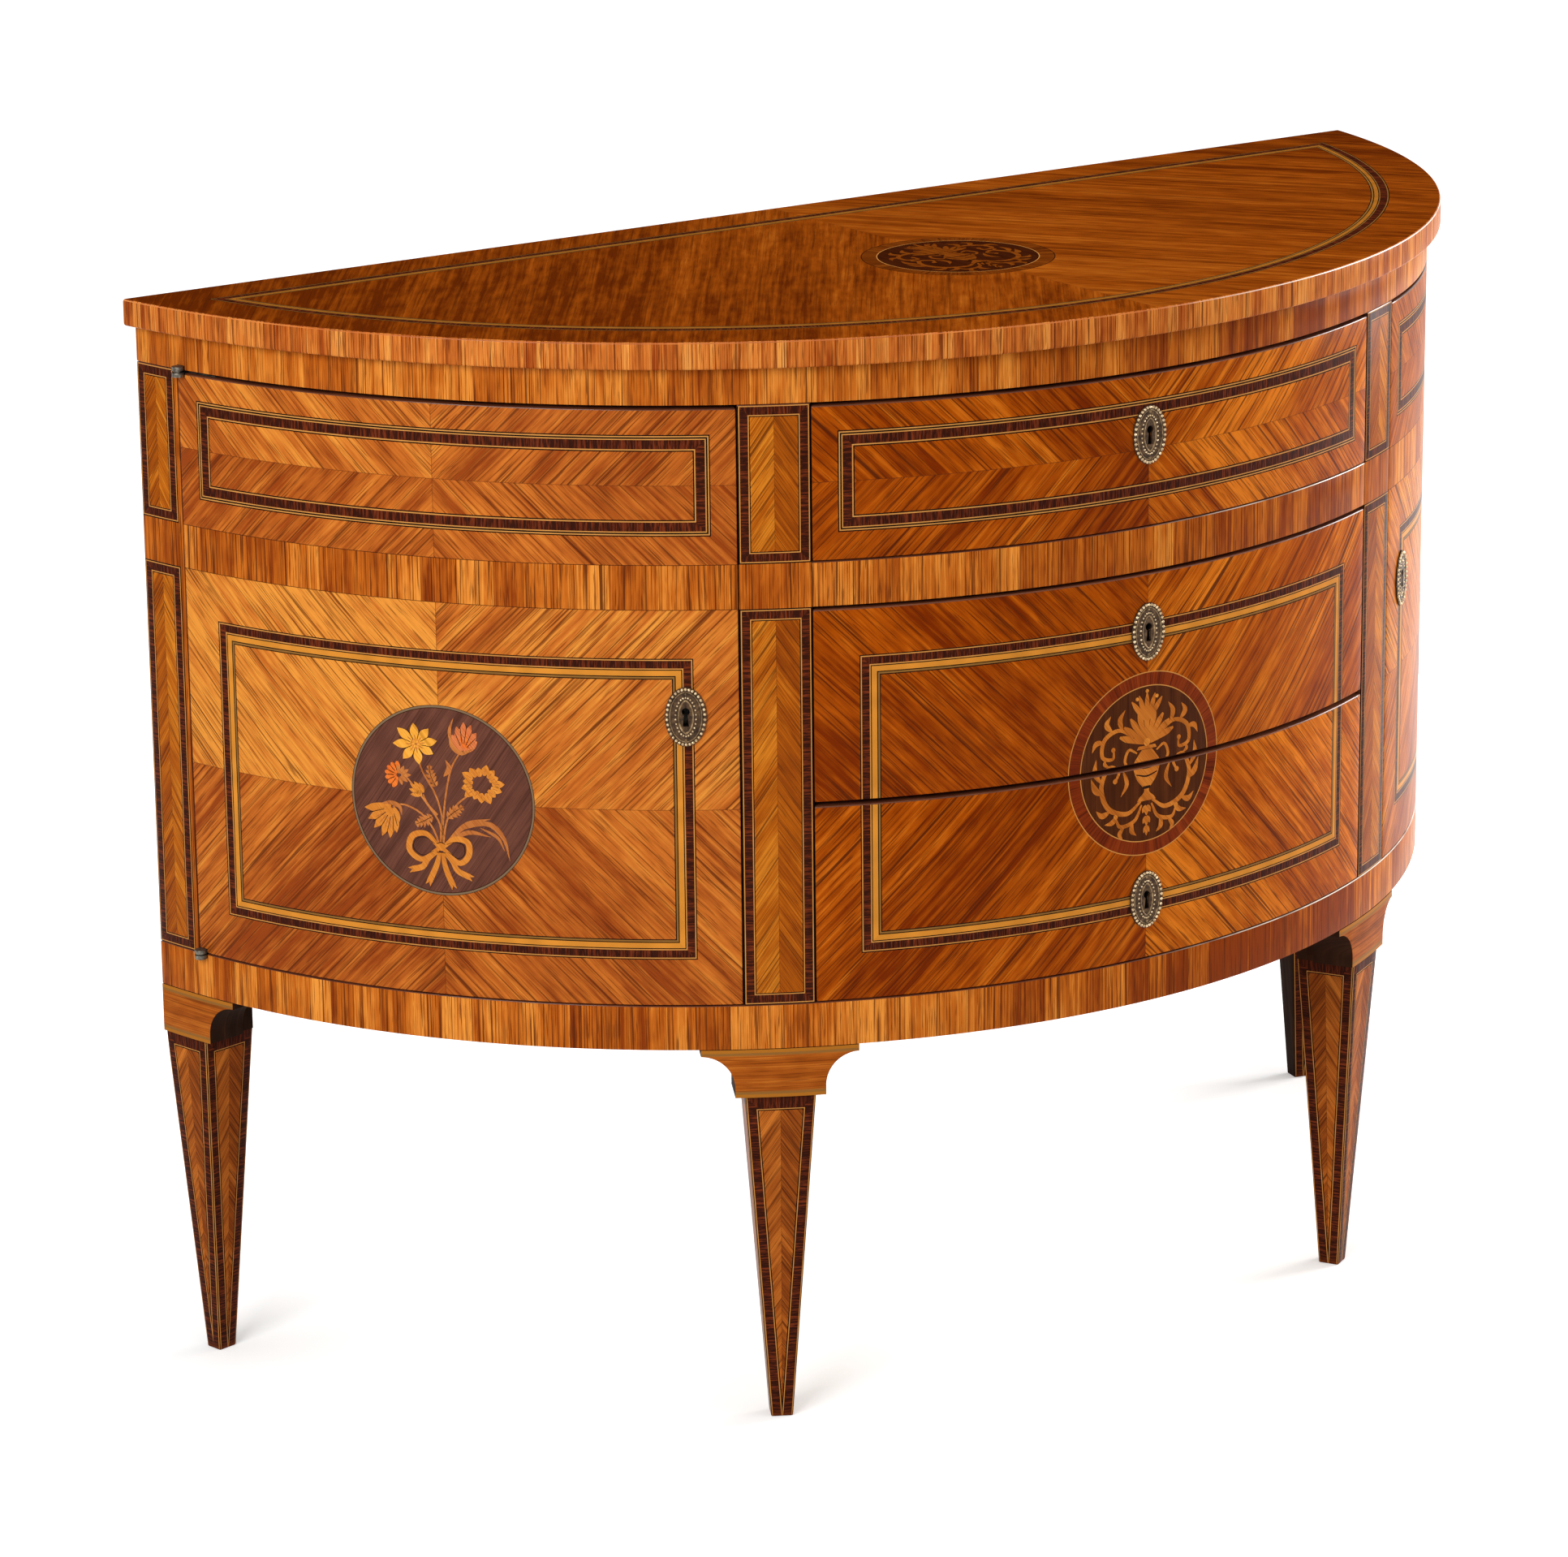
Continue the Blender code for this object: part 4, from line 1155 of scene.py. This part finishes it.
def makeKeyholePlate():
    oval = begun("keyhole_plate", bpy.ops.mesh.primitive_circle_add, vertices=72, radius=0.5,
                 fill_type="NGON", rotation=(pi / 2, 0, 0))
    oval.data.transform(Matrix.Diagonal((plate["width"], 1, plate["height"], 1)))
    drawnOut(oval, (0, -plate["thickness"], 0))
    openMesh(oval)
    selectFaces(oval, lambda centre, normal: normal.y < -0.5)
    for inward, up in plate["steps"]:
        bpy.ops.mesh.inset(thickness=inward, depth=up)
    closeMesh(outwards=False)
    beads = []
    for count, radius, inset in plate["rings"]:
        for index in range(count):
            turn = tau * (index + 0.5) / count
            place = ((plate["width"] / 2 - inset) * cos(turn), -plate["thickness"] - radius * 0.1,
                     (plate["height"] / 2 - inset) * sin(turn))
            beads.append(bead(wornAndLitBeadBronze, 12, radius, place))
    for height in (plate["pinHeight"], -plate["pinHeight"]):
        beads.append(bead(wornAndLitBronze, 16, plate["pin"], (0, -plate["thickness"], height)))
    cutter = keyholeCutter(0.01)
    cutter.data.transform(Matrix.Translation((0, -frontY, 0)))
    combine(oval, cutter)
    # patina and wear, partly painted light: the sunk faces a darker bronze for shade, the raised ones lighter
    # as if lit, the beads lightest
    dress(oval, (patinaAndShadeBronze, wornAndLitBronze), lambda centre, normal:
          int(centre.y < -plate["thickness"] - plate["ridge"] and normal.y < -0.7))
    return joined("keyhole_plate", [oval] + beads)


def placeKeyholePlates():
    pattern = makeKeyholePlate()
    for body in drawers + doors:
        middle = middleOf(f"{body}_escutcheon")
        each = copied(pattern, f"{body}_keyhole_plate")
        each.data.transform(Matrix.Translation((0, frontY - face["seatGap"], middle.z)))
        turned(each, angleOf(middle))
        finished(each, body, "aged_brass", f"{body}_escutcheon")
    bpy.data.objects.remove(pattern)


placeKeyholePlates()


print("inlaid pictures")

# the pictures are drawn in millimetres; each layer stands a little higher than the one under it
inlay = {"proud": 0.00010, "sunk": 0.0004, "layer": 0.00002, "narrowest": 0.15}
millimetre = 0.001


def smoothLine(points, count):
    # evenly numbered places on a smooth curve through given points (Catmull-Rom)
    points = [Vector(point) for point in points]
    points = [2 * points[0] - points[1]] + points + [2 * points[-1] - points[-2]]
    line = []
    for step in range(count + 1):
        travel = step / count * (len(points) - 3)
        first = min(int(travel), len(points) - 4)
        t = travel - first
        a, b, c, d = points[first:first + 4]
        line.append(0.5 * (2 * b + (c - a) * t + (2 * a - 5 * b + 4 * c - d) * t ** 2
                           + (3 * b - a - 3 * c + d) * t ** 3))
    return line


def sideways(direction):
    return Vector((-direction.y, direction.x)).normalized()


def strips(wood, layer, widths, count, *lines):
    # pieces of wood that follow lines and are as wide, from end to end, as the list says
    made = []
    breadth = smoothLine([(width, 0) for width in widths], count)
    y = -inlay["proud"] - layer * inlay["layer"]
    for line in lines:
        line = smoothLine(line, count)
        piece = begun("strip", bpy.ops.mesh.primitive_grid_add, x_subdivisions=1, y_subdivisions=count)
        piece.data.materials.append(pictureWoods[wood])
        for step, place in enumerate(line):
            aside = sideways(line[min(step + 1, count)] - line[max(step - 1, 0)])
            aside *= max(breadth[step].x, inlay["narrowest"]) / 2
            for corner, edge in enumerate((place + aside, place - aside)):
                piece.data.vertices[2 * step + corner].co = (edge.x * millimetre, y, edge.y * millimetre)
        made.append(piece)
    return made


def discs(wood, layer, radius, *centres):
    made = []
    for x, z in centres:
        piece = begun("disc", bpy.ops.mesh.primitive_circle_add, vertices=18, fill_type="NGON",
                      radius=radius * millimetre, rotation=(pi / 2, 0, 0))
        piece.data.materials.append(pictureWoods[wood])
        y = -inlay["proud"] - layer * inlay["layer"]
        piece.data.transform(Matrix.Translation((x * millimetre, y, z * millimetre)))
        made.append(piece)
    return made


def petals(wood, layer, centre, tips, width, shape=(0.35, 0.9, 1.0, 0.7, 0.06), start=0.15):
    # petals from near a centre to tips given from that centre
    middle = Vector(centre)
    lines = [[middle + Vector(tip) * share for share in (start, 0.5 + start / 2, 1)] for tip in tips]
    return strips(wood, layer, [width * share for share in shape], 8, *lines)


def shrunk(tips, share):
    return [(x * share, y * share) for x, y in tips]


def engraved(centre, tips, start=0.3, reach=0.85):
    # thin dark cuts between neighbouring petals
    cuts = [(Vector(tip) + Vector(after)) / 2 * reach for tip, after in zip(tips, tips[1:])]
    return petals("dark", 5, centre, cuts, 0.5, (1, 1, 1, 0.6), start)


def fan(count, radius, start, stop, squash=1.0):
    # tips spread evenly round part of a circle, angles in degrees
    angles = [radians(start + (stop - start) * index / max(count - 1, 1)) for index in range(count)]
    return [(radius * cos(angle), radius * squash * sin(angle)) for angle in angles]


def leaves(wood, width, *lines):
    return strips(wood, 1, (0.4, width * 0.8, width, width * 0.6, 0.1), 10, *lines)


def jaggedLeaf(width, *line):
    # a leaf with teeth: a rib with small blades on both sides
    spine = smoothLine(line, 5)
    made = strips("leaf", 1, (1.0, 2.2, 2.0, 0.4), 8, line) + strips("dark", 3, (0.3, 0.5, 0.4, 0.2), 6, line)
    for step in range(1, 6):
        root = spine[step - 1]
        ahead = (spine[step] - root).normalized()
        share = width * (1.15 - abs(step - 2.5) / 4) / 2
        for hand in (-1, 1):
            tip = root + (sideways(ahead) * hand + ahead * 0.7) * share
            made += strips("leaf", 1, (2.0, 2.6, 0.3), 5, (root, (root + tip) / 2 + ahead * 0.3, tip))
    return made


def solidPicture(name, pieces):
    return drawnOut(joined(name, pieces), (0, inlay["sunk"], 0))


def layOnFace(picture, along, height, mirror=1):
    # bends a flat picture onto the curved face
    for vertex in picture.data.vertices:
        angle = (along + vertex.co.x * mirror) / bodyRadius
        reach = bodyRadius - vertex.co.y
        vertex.co = (reach * sin(angle), centreY - reach * cos(angle), height + vertex.co.z)
    openMesh(picture)
    closeMesh()


flowers = {
    "narcissus": ((-16, 12), (-2, 17), (11, 13.5), (18, 4), (14.5, -7), (2.5, -16.5), (-11.5, -13),
                  (-20, -1)),
    "tulip": ((-9, 13), (-5, 20), (1, 24), (7, 22), (11.5, 16), (12, 9)),
    "carnation": fan(7, 12, 95, 245, 0.95),
    "drooping": ((-25, -3), (-22, -12), (-17, -19), (-10, -25), (-3, -26), (3, -21), (5, -13)),
    "anemone": fan(15, 17.5, 4, 340, 0.88),
}
anemoneLobes = (1.08, 0.90, 1.0)


def makeStemsAndLeaves():
    made = strips("leaf", 0, (1.1, 1.5, 1.5, 1.8), 16,
                  ((-20, 38), (-15, 23), (-4, 4), (1, -16), (0, -37)),
                  ((18, 42), (10, 28), (5, 8), (2, -14), (0, -37)),
                  ((-31, 19), (-21, 8), (-10, -6), (-1, -20), (-1, -37)),
                  ((-15, 4), (-11, -4), (-3, -12)),
                  ((26, 8), (14, -2), (5, -16), (1, -37)),
                  ((-42, -9), (-32, -6), (-17, -12), (-7, -24), (-2, -37)))
    made += leaves("leaf", 4.4, ((4, -34), (22, -18), (42, -12)))
    made += leaves("leaf", 3.8, ((5, -34), (23, -24.5), (42, -27)))
    made += leaves("leaf", 4.4, ((12, -24), (38, -16), (52, -27), (57, -46)))
    made += leaves("leaf", 2.6, ((33, -20), (47, -27), (53, -38)))
    made += leaves("leaf", 2.8, ((10.5, 46), (9, 58), (12.5, 69)))
    made += leaves("leaf", 4.6, ((3, 20), (8, 27), (5, 34)))
    made += jaggedLeaf(9, (-4, 12), (-8, 20), (-9, 30))
    made += jaggedLeaf(10, (-8, -14), (-15, -18), (-23, -22))
    made += jaggedLeaf(10, (6, -13), (12, -8), (20, -3))
    return made


def makeFlowers():
    centre, tips = (-20, 45), flowers["narcissus"]
    made = petals("daffodil", 2, centre, tips, 7.4, (0.4, 0.8, 1.0, 0.72, 0.04), 0.22)
    made += petals("leaf", 4, centre, shrunk(tips, 0.45), 0.7, (1, 1, 1, 0.4), 0.5)
    made += discs("petal", 3, 4.2, centre)
    made += petals("daffodil", 4, centre, fan(6, 3.6, 0, 300), 1.3)
    made += discs("leaf", 5, 1.1, centre)
    made += engraved(centre, tips + tips[:1], 0.36, 0.8)

    centre, tips = (20, 42), flowers["tulip"]
    made += petals("tulip", 2, centre, tips, 7.4, (0.5, 0.95, 1.05, 0.8, 0.1), 0.05)
    made += petals("carnation", 3, (21, 43), ((-3, 12), (3, 14), (7, 9)), 2.0)
    made += engraved(centre, tips, 0.3, 0.95)
    made += strips("leaf", 3, (0.3, 3.8, 3.4, 0.3), 12, ((9.5, 56), (11, 46), (19, 40.5), (29, 45)))

    centre, tips = (-36, 18), flowers["carnation"]
    made += petals("carnation", 2, centre, tips, 4.4, (0.3, 0.7, 1.05, 1.0, 0.35))
    made += engraved(centre, tips, 0.4, 0.9)
    made += petals("leaf", 3, (-35, 18), ((4, 8), (8, 5.5), (10, 1), (7, -5), (2, -8), (-2, 9)), 3.4)
    made += petals("petal", 2, (-14, 4), ((-12, 8), (-8.5, 10), (-13, 3.5), (-4, 9.5), (-12, -1)), 4.2)

    centre, tips = (35, 16), []
    for index, tip in enumerate(flowers["anemone"]):
        tips += shrunk([tip], anemoneLobes[index % 3])
    made += petals("petal", 2, centre, tips, 6.4, (0.3, 0.75, 1.0, 0.72, 0.08), 0.46)
    made += petals("leaf", 3, centre, shrunk(tips, 0.8), 0.6, (1, 1, 1, 0.5), 0.68)

    centre, tips = (-42, -9), flowers["drooping"]
    made += petals("ribbon", 2, centre, tips, 7.4, (0.5, 0.9, 1.0, 0.8, 0.06), 0.05)
    made += petals("leaf", 3, (-43, -11), shrunk(tips[1:6], 0.66), 0.8, (1, 1, 1, 0.4), 0.4)
    made += strips("leaf", 4, (0.4, 3.4, 3.4, 0.4), 10, ((-52, -7), (-44, -5.5), (-36, -8), (-34, -15)))
    made += engraved(centre, tips, 0.35, 0.92)
    return made


def makeBow():
    made = strips("ribbon", 2, (3.4, 4.6, 5.2, 4.6, 3.4), 26,
                  ((-3, -38), (-13, -28.5), (-25, -31), (-28, -43), (-17, -50), (-3, -40)),
                  ((1.5, -38), (11, -31), (22, -33), (22.5, -44), (14, -50.5), (1.5, -40)))
    for line in (((-3, -42), (-12, -49), (-17, -56), (-26, -59)), ((-2, -43), (-5, -54), (-11.5, -68)),
                 ((0.5, -43), (3, -56), (8.6, -69.5)), ((1.5, -42), (9, -50), (13, -57), (23, -61.5))):
        made += strips("ribbon", 1, (2.6, 4.2, 4.8, 5.0), 12, line)
        end = Vector(line[-1])
        ahead = (end - Vector(line[-2])).normalized()
        for hand in (-1.4, 1.4):      # the forked end
            aside = sideways(ahead) * hand
            made += strips("ribbon", 1, (2.4, 0.3), 3, (end + aside * 0.8, end + ahead * 3.2 + aside * 1.5))
    made += strips("petal", 3, (5.4, 7.0, 5.4), 6, ((-4, -38.7), (-0.7, -38), (2.6, -38.7)))
    # the knot's upper and lower outline, and the shadow inside each loop
    made += strips("dark", 5, (0.5, 0.7, 0.5), 6, ((-4.4, -36), (-0.7, -34.6), (3, -36)),
                   ((-4.4, -43), (-0.7, -42.8), (3, -43)))
    made += strips("dark", 4, (0.3, 0.4, 0.5, 0.4, 0.3), 18,
                   ((-6, -36), (-14, -31.5), (-22, -33.5), (-24.5, -41), (-17, -46.5), (-7, -42)),
                   ((4, -36), (11, -33.5), (18.5, -35.5), (19, -43), (13.5, -46.8), (5, -42)))
    return made


def bothHands(*lines):
    # lines for the right side, and again mirrored for the left
    return [[(x * hand, y) for x, y in line] for hand in (1, -1) for line in lines]


def makeUrnOrnament():
    # an urn with scrolling leaves, the same on both hands
    made = strips("urn", 2, (19, 15, 4.5, 20, 27, 17, 10), 36,
                  ((0, -31), (0, -28), (0, -22), (0, -12), (0, 0), (0, 8), (0, 12)))
    made += strips("urn", 3, (20, 17), 2, ((0, 12.4), (0, 15.2)))
    made += strips("dark", 3, (1.6, 2.2, 1.6), 10, ((-13.2, -1), (0, -3), (13.2, -1)))
    made += strips("dark", 3, (7.5, 7.5), 2, ((0, -21), (0, -18.6)))
    made += strips("dark", 3, (0.9, 1.3, 0.9), 10, ((-10.5, -8), (0, -10.5), (10.5, -8)))
    made += petals("urn", 2, (0, 16), fan(9, 29, 20, 160), 5.4, (0.3, 0.6, 0.85, 1.0, 0.3), 0.12)
    made += discs("petal", 4, 3.2, (0, 18))
    made += petals("urn", 3, (0, 34), fan(5, 25, 52, 128), 4.6, (0.3, 0.7, 1.0, 0.9, 0.2), 0.1)
    made += discs("petal", 4, 1.6, (-10, 55), (10, 55), (0, 60.5))

    for widths, count, line in (
            ((1.4, 2.4, 2.6, 2.2, 1.2), 18, ((10, 10), (18, 14), (22, 5), (17, -2), (13, 1))),
            ((2.0, 3.8, 4.4, 4.2, 3.4, 2.8, 2.0), 34,
             ((6, -31), (20, -39), (38, -32), (45, -14), (38, 2), (28, -2), (31, -10))),
            ((1.6, 3.2, 3.8, 3.4, 2.6, 1.6), 28, ((14, 24), (28, 32), (42, 26), (44, 12), (34, 9), (33, 16))),
            ((1.6, 3.2, 3.2, 1.4), 20, ((5, -34), (12, -46), (26, -49), (31, -41)))):
        made += strips("urn", 2, widths, count, *bothHands(line))
    for wood, radius, centre in (("urn", 2.2, (31.5, -10)), ("urn", 2.0, (33.5, 16.5)),
                                 ("petal", 2.0, (31, -40))):
        made += discs(wood, 3, radius, *sum(bothHands([centre]), []))
    for width, *line in (
            (5.6, (44, -20), (51, -14), (55, -4)), (5.0, (45, -10), (51, 0), (50, 11)),
            (5.0, (36, -34), (44, -37), (50, -32)), (4.6, (28, -37), (34, -44), (42, -45)),
            (4.6, (42, 24), (50, 24), (54, 17)), (5.0, (34, 31), (40, 38), (36, 45)),
            (4.8, (24, 30), (27, 40), (22, 48)), (3.2, (38, 3), (42, 6), (40, 10)),
            (4.6, (14, -46), (15, -54), (10, -59)), (4.2, (22, -49), (27, -55), (24, -60)),
            (4.0, (24, -2), (20, -14), (26, -24))):
        made += leaves("urn", width, *bothHands(line))
    for bottom, width in ((-42, 4.2), (-51, 3.64), (-59, 2.94)):      # husks hanging from the foot
        made += petals("urn", 2, (0, bottom + 8), ((-width, -7), (0, -9.5), (width, -7)), width)
    return solidPicture("urn_ornament", made)


def placePictures():
    bouquet = solidPicture("bouquet", makeStemsAndLeaves() + makeFlowers() + makeBow())
    for side, sign in sides:
        picture = copied(bouquet, f"{side}_door_bouquet")
        layOnFace(picture, sign * doorCentre, panelMiddle, -sign)
        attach(picture, f"{side}_door")
    bpy.data.objects.remove(bouquet)

    # the drawers' ornament is cut apart between the middle and the lower one
    urn = makeUrnOrnament()
    middleEdge = heights("middle_drawer_front")[0] + face["frontArris"]
    lowerEdge = heights("lower_drawer_front")[1] - face["topWear"] - face["frontArris"]
    for drawer, edge, outwards in (("middle_drawer", middleEdge, -1), ("lower_drawer", lowerEdge, 1)):
        picture = copied(urn, f"{drawer}_ornament")
        layOnFace(picture, 0, drawerPanels["medallionHeight"])
        openMesh(picture)
        trim((0, 0, edge), (0, 0, outwards))
        closeMesh(outwards=False)
        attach(picture, drawer)

    urn.name = "top_ornament"
    for index, slot in enumerate(urn.material_slots):
        urn.data.materials[index] = pictureWoods["topDark" if slot.material == darkWood else "topUrn"]
    place = Matrix.Translation((0, topPanel["medallionHeight"], topHigh))
    urn.data.transform(place @ Matrix.Rotation(-pi / 2, 4, "X"))
    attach(urn, "case")


placePictures()


print("inner boards and locks")

inside = {
    pineCrosswise: ["bottom_board", "upper_dust_board", "lower_dust_board", "left_shelf", "right_shelf"],
    pineLengthwise: ["left_partition", "right_partition"],
    pineUpright: ["back_panel"],
    iron: [f"{body}_lock" for body in drawers + doors],
}
for drawer in drawers:
    inside[pineCrosswise].append(f"{drawer}_bottom")
    inside[pineLengthwise] += [f"{drawer}_left_side", f"{drawer}_right_side"]
    inside[pineUpright].append(f"{drawer}_back")
for material, nodes in inside.items():
    for node in nodes:
        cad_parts[node].data.materials.clear()
        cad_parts[node].data.materials.append(material)


print("studio and camera")

camera = {
    "location": (-2.8421, -3.8459, 1.8377), "yaw": 0.6058, "pitch": 0.2817, "roll": -0.0107,
    "focalPixels": 7274.5, "imageWidth": 1932, "sensor": 36.0,
}
# each lamp's place, its size and its power
softboxes = {
    "keySoftbox": ((-3.5, -1.5, 2.3), 2.0, 108.0),
    "fillSoftbox": ((2.6, -2.8, 1.9), 2.2, 17.0),
    "sideSoftbox": ((3.7, -0.3, 1.4), 1.6, 132.0),
    "topSoftbox": ((0.0, -0.4, 3.2), 2.4, 26.0),
}


def added(name, data):
    holder = bpy.data.objects.new(name, data)
    bpy.context.scene.collection.objects.link(holder)
    return holder


def makeCamera():
    yaw, pitch, roll = camera["yaw"], camera["pitch"], camera["roll"]
    forward = Vector((sin(yaw) * cos(pitch), cos(yaw) * cos(pitch), -sin(pitch)))
    right = Vector((cos(yaw), -sin(yaw), 0))
    up = right.cross(forward)
    across = right * cos(roll) + up * sin(roll)
    upright = up * cos(roll) - right * sin(roll)
    lens = bpy.data.cameras.new("camera")
    lens.sensor_width = camera["sensor"]
    lens.lens = camera["focalPixels"] / camera["imageWidth"] * camera["sensor"]
    lens.clip_end = 200
    holder = added("camera", lens)
    turn = Matrix((across, upright, -forward)).transposed().to_4x4()
    holder.matrix_world = Matrix.Translation(camera["location"]) @ turn
    bpy.context.scene.camera = holder


def makeLamps():
    for name, (location, size, power) in softboxes.items():
        lamp = bpy.data.lights.new(name, "AREA")
        lamp.energy = power
        lamp.size = size
        holder = added(name, lamp)
        holder.location = location
        aim = Vector((0, 0, 0.5)) - holder.location
        holder.rotation_euler = aim.to_track_quat("-Z", "Y").to_euler()


def seenDirectly():
    # 1 for what the camera sees, straight or mirrored
    return greatest(*addNode("ShaderNodeLightPath", output=("Is Glossy Ray", "Is Transmission Ray",
                                                            "Is Camera Ray")))


def makeFloor():
    # lit from within to the white of the photograph, a little less round the feet, so that they keep shadows
    floor = begun("floor", bpy.ops.mesh.primitive_plane_add, size=60)
    place = newMaterial("paleFloor")
    x, y = split(place, "XY")
    flat = vectorOf(abs(x), y)
    feet = [middleOf(node)[:2] + (0.0,) for node in ("front_right_leg", "back_right_leg")]
    fromFoot = least(*(addNode("ShaderNodeVectorMath", {0: flat, 1: foot}, "Value", operation="DISTANCE")
                       for foot in feet))
    glow = spread(lengthOf(place), 0.9, 2.6, 0.66, 0.85) - spread(fromFoot, 0.02, 0.24, 0.32, 0.0)
    floor.data.materials.append(finishMaterial(
        shine=0.0, baseColor=(0.86, 0.86, 0.86, 1), roughness=0.9, emissionColor=(1, 1, 1, 1),
        emissionStrength=seenDirectly() * glow))


def makeWorld():
    world = bpy.data.worlds.new("studio")
    bpy.context.scene.world = world
    world.use_nodes = True
    work["tree"] = world.node_tree
    background = world.node_tree.nodes["Background"]
    feed(background.inputs["Color"], (1, 1, 1, 1))
    feed(background.inputs["Strength"], mixedValue(seenDirectly(), 0.32, 1.0))


makeCamera()
makeLamps()
makeFloor()
makeWorld()
bpy.context.scene.view_settings.view_transform = "Standard"
